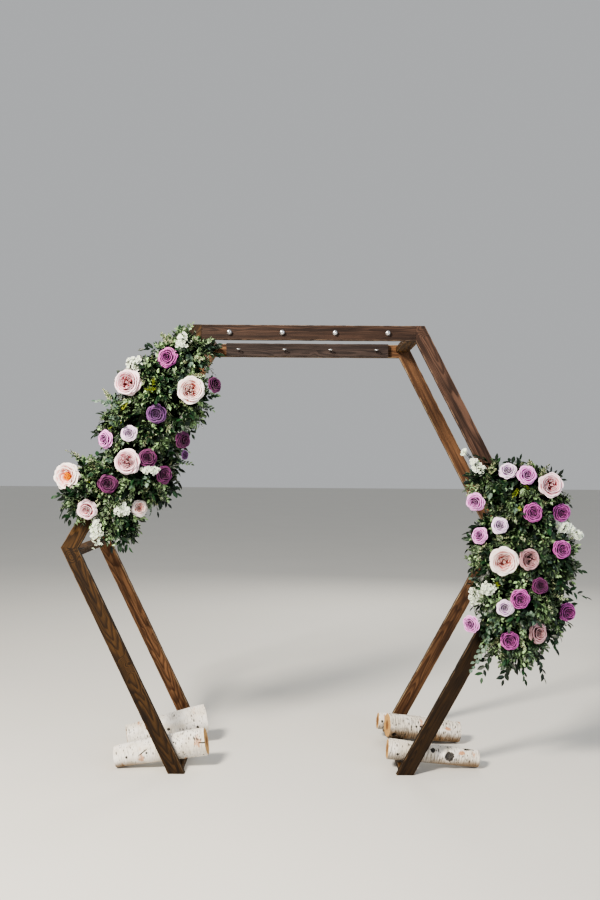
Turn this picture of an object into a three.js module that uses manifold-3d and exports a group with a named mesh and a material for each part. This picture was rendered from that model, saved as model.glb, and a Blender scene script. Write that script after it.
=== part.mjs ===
// Hexagonal timber chuppah: two parallel open-bottomed hexagon frames of stained boards, tied
// together by short boards, dressed with two flower arrangements and weighted by birch logs.
// Millimetres, +X to the right, +Y towards the back frame, +Z up, ground at Z 0.
import * as THREE from "three";
import { mergeVertices } from "three/addons/utils/BufferGeometryUtils.js";
import Module from "manifold-3d";

// Boards: planed two-by-four timber.
const BOARD_WIDTH = 89;
const BOARD_THICKNESS = 38;
// Outer outline of each frame: the top beam, the upper sides and the legs.
const TOP_LENGTH = 1375;
const UPPER_LENGTH = 1511;
const UPPER_ANGLE = THREE.MathUtils.degToRad(61.35);
const LEG_LENGTH = 1491;
const LEG_ANGLE = THREE.MathUtils.degToRad(62.5);
// The whole structure leans a little to the right: this much sideways for each unit of height.
const LEAN = 0.034;
// Front face to front face of the two frames.
const FRAME_SPACING = 838;
// Pieces that touch keep this gap.
const GAP = 0.3;

// The board with the screw eyes, on the inner face of the back frame's top beam.
const EYE_BOARD_LENGTH = 1107;
const FASTENER_COUNT = 4;
const FASTENER_SPACING = 313;
// How far the top and middle ties lie below the frame's top and below the side corners.
const TIE_DROP = 12;
// Round-headed front knobs, given as radius and height pairs of their outline.
const KNOB_PROFILE = [[0, 0], [9, 0], [9, 5], [13, 7], [14.5, 12], [12.5, 17.5], [7.5, 21], [0, 22.5]];
// Screw eyes, their rings lying level.
const EYE_RING_RADIUS = 14.5;
const EYE_WIRE_RADIUS = 2.8;
const EYE_SHANK_LENGTH = 16;

// Birch logs lying across the foot ties. The inner end is the one nearer the passage: x and y
// of both ends' centres, and the radius at both ends.
const LOGS = [
  { name: "left_front_log", outer: [-1056, 112], inner: [-510, 142], radii: [64, 85] },
  { name: "left_back_log", outer: [-1056, 470], inner: [-565, 615], radii: [72, 93] },
  { name: "right_front_log", outer: [1130, 146], inner: [579, 126], radii: [51, 63] },
  { name: "right_back_log", outer: [1100, 618], inner: [622, 556], radii: [67, 79] },
  { name: "right_end_log", outer: [1010, 752], inner: [573, 710], radii: [60, 54] },
];
const LOG_SIDES = 16;

// Flower arrangements, each a union of rounded masses around the front frame: centre x, centre
// z and radius. Their middle lies a little in front of the boards, and they are flatter in
// depth than across.
const MASS_CENTRE_Y = -55;
const MASS_FLATNESS = 0.74;
const LEFT_MASSES = [
  [-650, 2455, 150], [-752, 2225, 240], [-895, 2015, 225],
  [-905, 1785, 208], [-1118, 1672, 192], [-1035, 1550, 140],
];
const RIGHT_MASSES = [
  [1165, 1740, 112], [1368, 1620, 218], [1300, 1345, 252],
  [1325, 1070, 252], [1435, 1290, 208], [1300, 865, 172],
  [1505, 1000, 100],
];
// Blooms: name, centre x, centre z and radius.
const LEFT_BLOOMS = [
  ["left_garden_rose_1", -944, 2285, 74], ["left_garden_rose_2", -585, 2241, 76],
  ["left_purple_rose", -773, 2107, 60], ["left_garden_rose_3", -935, 1830, 70],
  ["left_peony", -1312, 1743, 76], ["left_pink_rose", -1170, 1558, 62],
];
const RIGHT_BLOOMS = [
  ["right_garden_rose_1", 1466, 1712, 68], ["right_garden_rose_2", 1198, 1285, 76],
  ["right_purple_rose_1", 1341, 1769, 58], ["right_purple_rose_2", 1533, 1348, 56],
  ["right_purple_rose_3", 1286, 1073, 58], ["right_purple_rose_4", 1605, 972, 56],
  ["right_purple_rose_5", 1242, 828, 56],
];
// A bloom's outline as radius and height, both in bloom radii, from its base to its middle.
const BLOOM_PROFILE = [[0, 0], [0.42, 0.05], [0.86, 0.3], [1, 0.56], [0.9, 0.8], [0.55, 0.93], [0, 0.96]];
const BLOOM_SINK = 0.4;
// How far a bloom turns sideways with the mass under it: 0 faces straight ahead.
const BLOOM_TURN = 0.6;

const TIMBER = { color: 0x5a3f2c, roughness: 0.62, metalness: 0 };
const BACK_TIMBER = { color: 0x6e4a2e, roughness: 0.62, metalness: 0 };
const GREY_TIMBER = { color: 0x493c38, roughness: 0.7, metalness: 0 };
const STEEL = { color: 0xc9ccce, roughness: 0.3, metalness: 1 };
const BIRCH = { color: 0xdcd6cc, roughness: 0.85, metalness: 0 };
const FOLIAGE = { color: 0x24401f, roughness: 0.8, metalness: 0 };
const PALE_BLOOM = { color: 0xe9c4c4, roughness: 0.75, metalness: 0 };
const PURPLE_BLOOM = { color: 0xa35a9c, roughness: 0.75, metalness: 0 };

const legHeight = LEG_LENGTH * Math.sin(LEG_ANGLE);
const frameHeight = legHeight + UPPER_LENGTH * Math.sin(UPPER_ANGLE);
const halfTop = TOP_LENGTH / 2;
const halfMiddle = halfTop + UPPER_LENGTH * Math.cos(UPPER_ANGLE);
const halfFoot = halfMiddle - LEG_LENGTH * Math.cos(LEG_ANGLE);

const wasm = await Module();
wasm.setup();

const chuppah = new THREE.Group();
chuppah.name = "chuppah";

function addMesh(name, geometry, look) {
  const mesh = new THREE.Mesh(geometry, new THREE.MeshStandardMaterial(look));
  mesh.name = name;
  chuppah.add(mesh);
  return mesh;
}

function toSolid(geometry) {
  const bare = geometry.clone();
  bare.deleteAttribute("normal");
  bare.deleteAttribute("uv");
  const merged = mergeVertices(bare, 1e-4);
  return new wasm.Manifold(new wasm.Mesh({
    numProp: 3,
    vertProperties: merged.attributes.position.array,
    triVerts: new Uint32Array(merged.index.array),
  }));
}

function toGeometry(solid) {
  const mesh = solid.getMesh();
  const geometry = new THREE.BufferGeometry();
  geometry.setAttribute("position", new THREE.BufferAttribute(new Float32Array(mesh.vertProperties), 3));
  geometry.setIndex(new THREE.BufferAttribute(new Uint32Array(mesh.triVerts), 1));
  return geometry;
}

// The crossing of two lines in the frame's plane, each a point and a direction.
function crossing(a, b) {
  const across = new THREE.Vector2().subVectors(b.point, a.point);
  const t = across.cross(b.direction) / a.direction.cross(b.direction);
  return a.point.clone().addScaledVector(a.direction, t);
}

// The inner edge line of a board whose outer edge runs from start to end, the inside being on
// the given side of the passage's centre line.
function innerLine(start, end) {
  const direction = new THREE.Vector2().subVectors(end, start).normalize();
  const normal = new THREE.Vector2(-direction.y, direction.x);
  const centre = new THREE.Vector2(LEAN * legHeight, legHeight);
  if (normal.dot(new THREE.Vector2().subVectors(centre, start)) < 0) {
    normal.negate();
  }
  return { point: start.clone().addScaledVector(normal, BOARD_WIDTH), direction };
}

function levelLine(height) {
  return { point: new THREE.Vector2(0, height), direction: new THREE.Vector2(1, 0) };
}

// Outer and inner corners of one side of a frame, side being -1 for left and 1 for right.
function sideCorners(side) {
  const corner = (half, height) => new THREE.Vector2(side * half + LEAN * height, height);
  const foot = corner(halfFoot, 0);
  const middle = corner(halfMiddle, legHeight);
  const top = corner(halfTop, frameHeight);
  const legInner = innerLine(foot, middle);
  const upperInner = innerLine(middle, top);
  return {
    foot,
    middle,
    top,
    footInner: crossing(legInner, levelLine(0)),
    middleInner: crossing(legInner, upperInner),
    topInner: crossing(upperInner, levelLine(frameHeight - BOARD_WIDTH)),
  };
}

// A flat board cut to an outline in the frame's plane, its front face at frontY.
function boardGeometry(outline, frontY) {
  const shape = new THREE.Shape(outline);
  const geometry = new THREE.ExtrudeGeometry(shape, { depth: BOARD_THICKNESS, bevelEnabled: false });
  geometry.rotateX(Math.PI / 2);
  geometry.translate(0, frontY + BOARD_THICKNESS, 0);
  return geometry;
}

// The end of a board pulled back along its length to leave the joint's gap.
function pulledBack(corner, towards) {
  const direction = new THREE.Vector2().subVectors(towards, corner).normalize();
  return corner.clone().addScaledVector(direction, GAP / 2);
}

const corners = { left: sideCorners(-1), right: sideCorners(1) };

function addFrame(prefix, frontY, look) {
  for (const [side, c] of Object.entries(corners)) {
    const leg = [
      c.foot,
      c.footInner,
      pulledBack(c.middleInner, c.footInner),
      pulledBack(c.middle, c.foot),
    ];
    const upper = [
      pulledBack(c.middle, c.top),
      pulledBack(c.middleInner, c.topInner),
      c.topInner,
      new THREE.Vector2(c.topInner.x, frameHeight),
      c.top,
    ];
    addMesh(`${prefix}_${side}_leg`, boardGeometry(leg, frontY), look);
    addMesh(`${prefix}_upper_${side}`, boardGeometry(upper, frontY), look);
  }
  const left = corners.left.topInner.x + GAP;
  const right = corners.right.topInner.x - GAP;
  const beam = [
    new THREE.Vector2(left, frameHeight - BOARD_WIDTH),
    new THREE.Vector2(right, frameHeight - BOARD_WIDTH),
    new THREE.Vector2(right, frameHeight),
    new THREE.Vector2(left, frameHeight),
  ];
  addMesh(`${prefix}_top_beam`, boardGeometry(beam, frontY), look);
}

// Middle of a side board, measured level across it, at a height.
function boardMiddle(side, height) {
  const c = corners[side];
  const [low, high, lowInner] = height < legHeight
    ? [c.foot, c.middle, c.footInner]
    : [c.middle, c.top, c.middleInner];
  const share = (height - low.y) / (high.y - low.y);
  const outer = THREE.MathUtils.lerp(low.x, high.x, share);
  return outer + (lowInner.x - low.x) / 2;
}

function addTie(name, side, centreHeight) {
  const length = FRAME_SPACING - BOARD_THICKNESS - 2 * GAP;
  const tie = addMesh(name, new THREE.BoxGeometry(BOARD_WIDTH, length, BOARD_THICKNESS), TIMBER);
  const centreY = BOARD_THICKNESS + GAP + length / 2;
  tie.position.set(boardMiddle(side, centreHeight), centreY, centreHeight);
}

function addTies() {
  const half = BOARD_THICKNESS / 2;
  for (const side of ["left", "right"]) {
    addTie(`top_${side}_tie`, side, frameHeight - TIE_DROP - half);
    addTie(`middle_${side}_tie`, side, legHeight - TIE_DROP - half);
    addTie(`${side}_foot_tie`, side, half);
  }
}

const beamCentreX = (corners.left.topInner.x + corners.right.topInner.x) / 2;
const beamCentreZ = frameHeight - BOARD_WIDTH / 2;
const eyeBoardFrontY = FRAME_SPACING - GAP - BOARD_THICKNESS;

function fastenerX(index) {
  return beamCentreX + (index - (FASTENER_COUNT - 1) / 2) * FASTENER_SPACING;
}

function addKnobs() {
  const outline = KNOB_PROFILE.map(([radius, height]) => new THREE.Vector2(radius, height));
  for (let i = 0; i < FASTENER_COUNT; i += 1) {
    const geometry = new THREE.LatheGeometry(outline, 14);
    const knob = addMesh(`front_knob_${i + 1}`, geometry, STEEL);
    knob.rotation.x = Math.PI;
    knob.position.set(fastenerX(i), -GAP, beamCentreZ);
  }
}

function screwEyeGeometry() {
  const ring = new THREE.TorusGeometry(EYE_RING_RADIUS, EYE_WIRE_RADIUS, 8, 18);
  ring.translate(0, -EYE_SHANK_LENGTH - EYE_RING_RADIUS, 0);
  const shank = new THREE.CylinderGeometry(EYE_WIRE_RADIUS * 1.05, EYE_WIRE_RADIUS * 1.05, EYE_SHANK_LENGTH, 10);
  shank.translate(0, -EYE_SHANK_LENGTH / 2, 0);
  return toGeometry(toSolid(ring).add(toSolid(shank)));
}

function addEyeBoard() {
  const size = [EYE_BOARD_LENGTH, BOARD_THICKNESS, BOARD_WIDTH];
  const board = addMesh("back_eye_board", new THREE.BoxGeometry(...size), GREY_TIMBER);
  board.position.set(beamCentreX, eyeBoardFrontY + BOARD_THICKNESS / 2, beamCentreZ);
  for (let i = 0; i < FASTENER_COUNT; i += 1) {
    const eye = addMesh(`back_screw_eye_${i + 1}`, screwEyeGeometry(), STEEL);
    eye.position.set(fastenerX(i), eyeBoardFrontY - GAP, beamCentreZ);
  }
}

// A log lying on the ground at its outer end and on the foot tie's outer top edge.
function addLog({ name, outer, inner, radii }) {
  const side = inner[0] < 0 ? "left" : "right";
  const tieEdge = Math.abs(boardMiddle(side, BOARD_THICKNESS / 2)) + BOARD_WIDTH / 2;
  const reach = Math.hypot(inner[0] - outer[0], inner[1] - outer[1]);
  const toTie = (Math.abs(outer[0]) - tieEdge) * reach / Math.abs(inner[0] - outer[0]);
  const slope = Math.atan2(BOARD_THICKNESS + 2 * GAP, toTie) + Math.atan2(radii[1] - radii[0], reach);
  const length = reach / Math.cos(slope);
  const outline = [new THREE.Vector2(0, 0)];
  const rings = 5;
  for (let i = 0; i <= rings; i += 1) {
    const share = i / rings;
    outline.push(new THREE.Vector2(THREE.MathUtils.lerp(radii[0], radii[1], share), share * length));
  }
  outline.push(new THREE.Vector2(0, length));
  const log = addMesh(name, new THREE.LatheGeometry(outline, LOG_SIDES), BIRCH);
  const level = new THREE.Vector3(inner[0] - outer[0], inner[1] - outer[1], 0).normalize();
  const axis = level.multiplyScalar(Math.cos(slope)).setZ(Math.sin(slope));
  log.quaternion.setFromUnitVectors(new THREE.Vector3(0, 1, 0), axis);
  log.position.set(outer[0], outer[1], radii[0] * Math.cos(slope) + GAP);
}

function massSolid([x, z, radius]) {
  const ball = new THREE.SphereGeometry(radius, 14, 9);
  ball.rotateX(Math.PI / 2);
  ball.scale(1, MASS_FLATNESS, 1);
  ball.translate(x, MASS_CENTRE_Y, z);
  return toSolid(ball);
}

// The foremost point of the masses in front of (x, z), and which way they face there.
function massFront(masses, x, z) {
  let best = { y: MASS_CENTRE_Y, facing: null, closest: Infinity };
  for (const [cx, cz, radius] of masses) {
    const away = Math.hypot(x - cx, z - cz) / radius;
    const depth = radius * MASS_FLATNESS * Math.sqrt(Math.max(0, 1 - away * away));
    const isBetter = depth > 0 ? MASS_CENTRE_Y - depth < best.y : best.y === MASS_CENTRE_Y && away < best.closest;
    if (isBetter) {
      const turn = BLOOM_TURN / radius;
      const facing = new THREE.Vector3((x - cx) * turn, -1.1, (z - cz) * turn).normalize();
      best = { y: MASS_CENTRE_Y - depth, facing, closest: away };
    }
  }
  return best;
}

function bloomGeometry(radius, grow) {
  const outline = BLOOM_PROFILE.map(([r, h]) => new THREE.Vector2(r * radius, h * radius));
  const geometry = new THREE.LatheGeometry(outline, 12);
  geometry.translate(0, -BLOOM_SINK * radius, 0);
  geometry.scale(grow, grow, grow);
  return geometry;
}

function boardCutter(start, end) {
  const along = new THREE.Vector2().subVectors(end, start);
  const inner = innerLine(start, end);
  const middle = start.clone().lerp(end, 0.5);
  const offset = new THREE.Vector2().subVectors(inner.point, start).multiplyScalar(0.5);
  const box = new THREE.BoxGeometry(
    along.length() + 2 * GAP,
    BOARD_THICKNESS + 2 * GAP,
    BOARD_WIDTH + 2 * GAP,
  );
  box.rotateY(-Math.atan2(along.y, along.x));
  box.translate(middle.x + offset.x, BOARD_THICKNESS / 2, middle.y + offset.y);
  return toSolid(box);
}

function beamCutter() {
  const margin = 2 * GAP;
  const box = new THREE.BoxGeometry(TOP_LENGTH, BOARD_THICKNESS + margin, BOARD_WIDTH + margin);
  box.translate(LEAN * frameHeight, BOARD_THICKNESS / 2, beamCentreZ);
  return toSolid(box);
}

function tieCutter(side, centreHeight) {
  const margin = 2 * GAP;
  const box = new THREE.BoxGeometry(BOARD_WIDTH + margin, FRAME_SPACING, BOARD_THICKNESS + margin);
  box.translate(boardMiddle(side, centreHeight), FRAME_SPACING / 2, centreHeight);
  return toSolid(box);
}

// The greenery is cut clear of the boards and of the blooms that sit in it.
function addArrangement(side, masses, blooms) {
  const c = corners[side];
  let greenery = masses.map(massSolid).reduce((whole, ball) => whole.add(ball));
  const half = BOARD_THICKNESS / 2;
  const cutters = [
    boardCutter(c.foot, c.middle),
    boardCutter(c.middle, c.top),
    beamCutter(),
    tieCutter(side, frameHeight - TIE_DROP - half),
    tieCutter(side, legHeight - TIE_DROP - half),
  ];
  for (const [name, x, z, radius] of blooms) {
    const { y, facing } = massFront(masses, x, z);
    const look = name.includes("purple") ? PURPLE_BLOOM : PALE_BLOOM;
    const bloom = addMesh(name, bloomGeometry(radius, 1), look);
    bloom.quaternion.setFromUnitVectors(new THREE.Vector3(0, 1, 0), facing);
    bloom.position.set(x, y, z);
    bloom.updateMatrix();
    const clear = bloomGeometry(radius, 1 + 2 * GAP / radius);
    clear.applyMatrix4(bloom.matrix);
    cutters.push(toSolid(clear));
  }
  for (const cutter of cutters) {
    greenery = greenery.subtract(cutter);
  }
  const pieces = greenery.decompose();
  pieces.sort((a, b) => b.volume() - a.volume());
  addMesh(`${side}_greenery`, toGeometry(pieces[0]), FOLIAGE);
}

addFrame("front", 0, TIMBER);
addFrame("back", FRAME_SPACING, BACK_TIMBER);
addTies();
addKnobs();
addEyeBoard();
LOGS.forEach(addLog);
addArrangement("left", LEFT_MASSES, LEFT_BLOOMS);
addArrangement("right", RIGHT_MASSES, RIGHT_BLOOMS);

// The origin is the middle of the whole object's footprint, on the ground.
const whole = new THREE.Box3().setFromObject(chuppah, true);
const centre = whole.getCenter(new THREE.Vector3());
chuppah.position.set(-centre.x, -centre.y, -whole.min.z);

export default chuppah;
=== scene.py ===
"""The looks of a hexagonal timber chuppah: two tied frames of stained boards, metal fasteners,
birch logs on the feet and two arrangements of roses and cut foliage.

Lengths are in metres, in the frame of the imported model: +X to the right, +Y towards the back
frame, +Z up and the ground at Z 0.
"""

import logging
import math
import random
from collections.abc import Callable, Iterator
from contextlib import contextmanager
from dataclasses import dataclass, field
from enum import Enum

import bpy
import numpy as np
from mathutils import Matrix, Vector, noise
from mathutils.bvhtree import BVHTree

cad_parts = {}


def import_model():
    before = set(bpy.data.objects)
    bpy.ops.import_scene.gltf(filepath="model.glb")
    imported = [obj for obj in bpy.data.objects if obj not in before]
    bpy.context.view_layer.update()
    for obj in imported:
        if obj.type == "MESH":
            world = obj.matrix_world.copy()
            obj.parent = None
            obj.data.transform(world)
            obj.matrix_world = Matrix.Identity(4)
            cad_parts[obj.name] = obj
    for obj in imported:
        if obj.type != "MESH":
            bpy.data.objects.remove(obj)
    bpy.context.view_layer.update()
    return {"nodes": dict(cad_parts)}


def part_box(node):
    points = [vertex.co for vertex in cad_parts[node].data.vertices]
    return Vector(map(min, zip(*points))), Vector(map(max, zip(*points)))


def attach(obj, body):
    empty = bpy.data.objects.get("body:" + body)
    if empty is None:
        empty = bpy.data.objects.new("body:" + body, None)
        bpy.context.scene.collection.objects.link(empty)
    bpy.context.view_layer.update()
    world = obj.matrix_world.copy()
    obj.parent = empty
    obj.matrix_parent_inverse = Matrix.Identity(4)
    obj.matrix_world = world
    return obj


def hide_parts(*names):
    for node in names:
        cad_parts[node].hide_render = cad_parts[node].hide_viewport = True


log = logging.getLogger("chuppah")

Piece = bpy.types.Object
Mesh = bpy.types.Mesh
Material = bpy.types.Material
Nodes = dict[str, Piece]
Triple = tuple[float, float, float]
Paint = int  # a colour, as 0xRRGGBB
Colour = tuple[float, float, float, float]

ROOT = "root"
ORIGIN = (0, 0, 0)
UP = Vector((0, 0, 1))
FRONT = Vector((0, -1, 0))
MERGE = 1e-5  # vertices nearer than this become one
GOLDEN_TURN = 2.4  # radians from one whorl or floret to the next
BOARD_ENDINGS = ("_leg", "_tie", "_beam", "_upper_left", "_upper_right")


def linear(paint: Paint) -> Colour:
    """Turns a paint into linear light.

    Args:
        paint: The paint.

    Returns:
        The linear colour, fully opaque.
    """
    knee, slope, lift, gamma = 0.04045, 12.92, 0.055, 2.4
    shares = [level / 255 for level in paint.to_bytes(3, "big")]
    light = [share / slope if share <= knee else ((share + lift) / (1 + lift)) ** gamma for share in shares]
    return (*light, 1.0)


# Mesh arrays


@dataclass
class Shape:
    """A mesh held as arrays, so that leaves and petals can be copied by the thousand."""

    points: np.ndarray  # vertex places, one row each
    corners: np.ndarray  # vertex numbers of every face, one face after the other
    sizes: np.ndarray  # number of corners of each face
    coats: np.ndarray  # material number of each face
    marks: dict[str, np.ndarray] = field(default_factory=dict)  # values on the vertices, by name

    @classmethod
    def taken_from(cls, piece: Piece) -> "Shape":
        """Reads a piece's mesh into arrays and removes the piece.

        Args:
            piece: A mesh object at the origin.

        Returns:
            The same mesh as arrays.
        """
        mesh = piece.data
        points = places_of(mesh)
        corners = np.empty(len(mesh.loops), dtype=np.int32)
        mesh.loops.foreach_get("vertex_index", corners)
        sizes = np.array([len(face.vertices) for face in mesh.polygons], dtype=np.int32)
        bpy.data.objects.remove(piece)
        return cls(points, corners, sizes, np.zeros_like(sizes))

    def placed(self, axes: np.ndarray, origin: np.ndarray | Vector, **marks: np.ndarray) -> "Shape":
        """Copies the shape to new axes, given as scaled columns, and writes more marks on the copy."""
        points = self.points @ np.asarray(axes).T + np.asarray(origin)
        return Shape(points, self.corners, self.sizes, self.coats, {**self.marks, **marks})

    def coated(self, number: int) -> "Shape":
        """Gives a copy whose faces all take one material number."""
        return Shape(self.points, self.corners, self.sizes, np.full_like(self.coats, number), self.marks)

    @staticmethod
    def joined(shapes: list["Shape"]) -> "Shape":
        """Joins shapes that carry the same marks into one.

        Args:
            shapes: At least one shape.

        Returns:
            One shape with all their faces.
        """
        starts = np.cumsum([0] + [len(shape.points) for shape in shapes[:-1]])
        corners = np.concatenate([shape.corners + start for shape, start in zip(shapes, starts)])
        points, sizes, coats = (
            np.concatenate([getattr(shape, part) for shape in shapes])
            for part in ("points", "sizes", "coats")
        )
        marks = {key: np.concatenate([shape.marks[key] for shape in shapes]) for key in shapes[0].marks}
        return Shape(points, corners, sizes, coats, marks)

    def as_piece(self, name: str, finishes: list["Finish"], crease: float) -> Piece:
        """Makes an object of the shape.

        Args:
            name: The object's name.
            finishes: Its finishes, in the order of the material numbers.
            crease: Edges that turn by more degrees than this stay sharp.

        Returns:
            The new object, at the origin.
        """
        mesh = bpy.data.meshes.new(name)
        mesh.vertices.add(len(self.points))
        mesh.vertices.foreach_set("co", self.points.ravel())
        mesh.loops.add(len(self.corners))
        mesh.loops.foreach_set("vertex_index", self.corners.astype(np.int32))
        mesh.polygons.add(len(self.sizes))
        starts = np.concatenate([[0], np.cumsum(self.sizes)[:-1]]).astype(np.int32)
        mesh.polygons.foreach_set("loop_start", starts)
        mesh.polygons.foreach_set("material_index", self.coats.astype(np.int32))
        mesh.update(calc_edges=True)
        mesh.validate()
        for key, values in self.marks.items():
            write_mark(mesh, key, values)
        piece = linked(name, mesh)
        dress(piece, *finishes)
        smooth(piece, crease)
        return piece


def write_mark(mesh: Mesh, key: str, values: np.ndarray) -> None:
    """Stores one number, or one row of three, for each vertex, for the mesh's finish to read."""
    kind, part = ("FLOAT", "value") if values.ndim == 1 else ("FLOAT_VECTOR", "vector")
    mesh.attributes.new(key, kind, "POINT").data.foreach_set(part, values.ravel())


def places_of(mesh: Mesh) -> np.ndarray:
    """Gives a mesh's vertex places.

    Args:
        mesh: The mesh.

    Returns:
        One row for each vertex.
    """
    places = np.empty(len(mesh.vertices) * 3)
    mesh.vertices.foreach_get("co", places)
    return places.reshape(-1, 3)


# Modelling by operators


def linked(name: str, data: bpy.types.ID) -> Piece:
    """Puts a mesh, a lamp or a camera into the scene.

    Args:
        name: The new object's name.
        data: What it shows.

    Returns:
        The object, at the origin.
    """
    piece = bpy.data.objects.new(name, data)
    bpy.context.scene.collection.objects.link(piece)
    return piece


def clear_selection() -> None:
    """Deselects everything, so that an operator touches only the piece picked next."""
    bpy.ops.object.select_all(action="DESELECT")


def hold(piece: Piece) -> None:
    """Makes a piece the only selected one, and the active one.

    Args:
        piece: The piece.
    """
    clear_selection()
    piece.select_set(True)
    bpy.context.view_layer.objects.active = piece


@contextmanager
def editing(piece: Piece, wanted: Callable[[Vector], bool] | None = None) -> Iterator[None]:
    """Opens a piece in edit mode for the length of a with block.

    Args:
        piece: The piece.
        wanted: Says of a vertex's place whether it is selected. Without it, all are.

    Yields:
        Nothing.
    """
    hold(piece)
    bpy.ops.object.mode_set(mode="EDIT")
    if wanted:
        bpy.ops.mesh.select_mode(type="VERT")
        bpy.ops.mesh.select_all(action="DESELECT")
        bpy.ops.object.mode_set(mode="OBJECT")
        for vertex in piece.data.vertices:
            vertex.select = wanted(vertex.co)
        bpy.ops.object.mode_set(mode="EDIT")
    else:
        bpy.ops.mesh.select_all(action="SELECT")
    yield
    bpy.ops.object.mode_set(mode="OBJECT")


def cut_across(middle: Vector, along: Vector, levels: list[float]) -> None:
    """Cuts the piece that is open in edit mode into short lengths.

    Args:
        middle: The place from which the levels count.
        along: The direction in which they count.
        levels: How far off each cut is.
    """
    for level in levels:
        bpy.ops.mesh.select_all(action="SELECT")
        bpy.ops.mesh.bisect(plane_co=middle + along * level, plane_no=along)


def apply_modifiers(piece: Piece) -> None:
    """Applies all of a piece's modifiers in order.

    Args:
        piece: The piece.
    """
    hold(piece)
    for modifier in list(piece.modifiers):
        bpy.ops.object.modifier_apply(modifier=modifier.name)


def smooth(piece: Piece, crease: float) -> None:
    """Shades a piece smooth, but for edges that turn by more degrees than the crease."""
    hold(piece)
    bpy.ops.object.shade_smooth_by_angle(angle=math.radians(crease))


def fix_in_place(piece: Piece) -> None:
    """Moves a piece's place, turn and scale into its mesh."""
    hold(piece)
    bpy.ops.object.transform_apply(location=True, rotation=True, scale=True)


def dress(piece: Piece, *finishes: "Finish") -> None:
    """Gives a piece its finishes.

    Args:
        piece: The piece.
        *finishes: The finishes, in the order of its faces' material numbers.
    """
    coats = [face.material_index for face in piece.data.polygons]
    piece.data.materials.clear()
    for finish in finishes:
        piece.data.materials.append(finish.material())
    piece.data.polygons.foreach_set("material_index", coats)


def report(piece: Piece, slot: str, *nodes: str) -> None:
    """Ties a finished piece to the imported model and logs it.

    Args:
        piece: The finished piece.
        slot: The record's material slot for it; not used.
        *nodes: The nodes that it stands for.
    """
    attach(piece, ROOT)
    if nodes:
        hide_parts(*nodes)
    log.info("%s: %d faces", piece.name, len(piece.data.polygons))


# Finishes


def sum_of(operation: str, swapped: bool = False) -> Callable[..., "Signal"]:
    """Makes a method of a signal that adds a Math node.

    Args:
        operation: The node's operation.
        swapped: Whether the other operand comes first.

    Returns:
        The method.
    """

    def method(signal: "Signal", *others: "Signal | float") -> "Signal":
        """Adds the node for a signal and for another operand, if there is one."""
        operands = (*others, signal) if swapped else (signal, *others)
        return signal.bench.add("ShaderNodeMath", dict(enumerate(operands)), operation=operation)

    return method


@dataclass(eq=False)
class Signal:
    """A number that varies over a surface, as an output of a finish's node tree.

    Arithmetic on it adds Math nodes, so that a pattern reads as a formula.
    """

    bench: "Bench"  # whose tree it is in
    socket: bpy.types.NodeSocket  # the output

    __add__ = sum_of("ADD")
    __radd__ = sum_of("ADD", swapped=True)
    __sub__ = sum_of("SUBTRACT")
    __rsub__ = sum_of("SUBTRACT", swapped=True)
    __mul__ = sum_of("MULTIPLY")
    __truediv__ = sum_of("DIVIDE")
    __pow__ = sum_of("POWER")
    __abs__ = sum_of("ABSOLUTE")
    fraction = sum_of("FRACT")  # the part after the point, a saw-tooth
    larger = sum_of("MAXIMUM")

    def rise(self, low: float, high: float) -> "Signal":
        """Goes smoothly from 0 at a low value to 1 at a high one."""
        inputs = {0: self, 1: low, 2: high}
        return self.bench.add("ShaderNodeMapRange", inputs, interpolation_type="SMOOTHSTEP")


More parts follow.
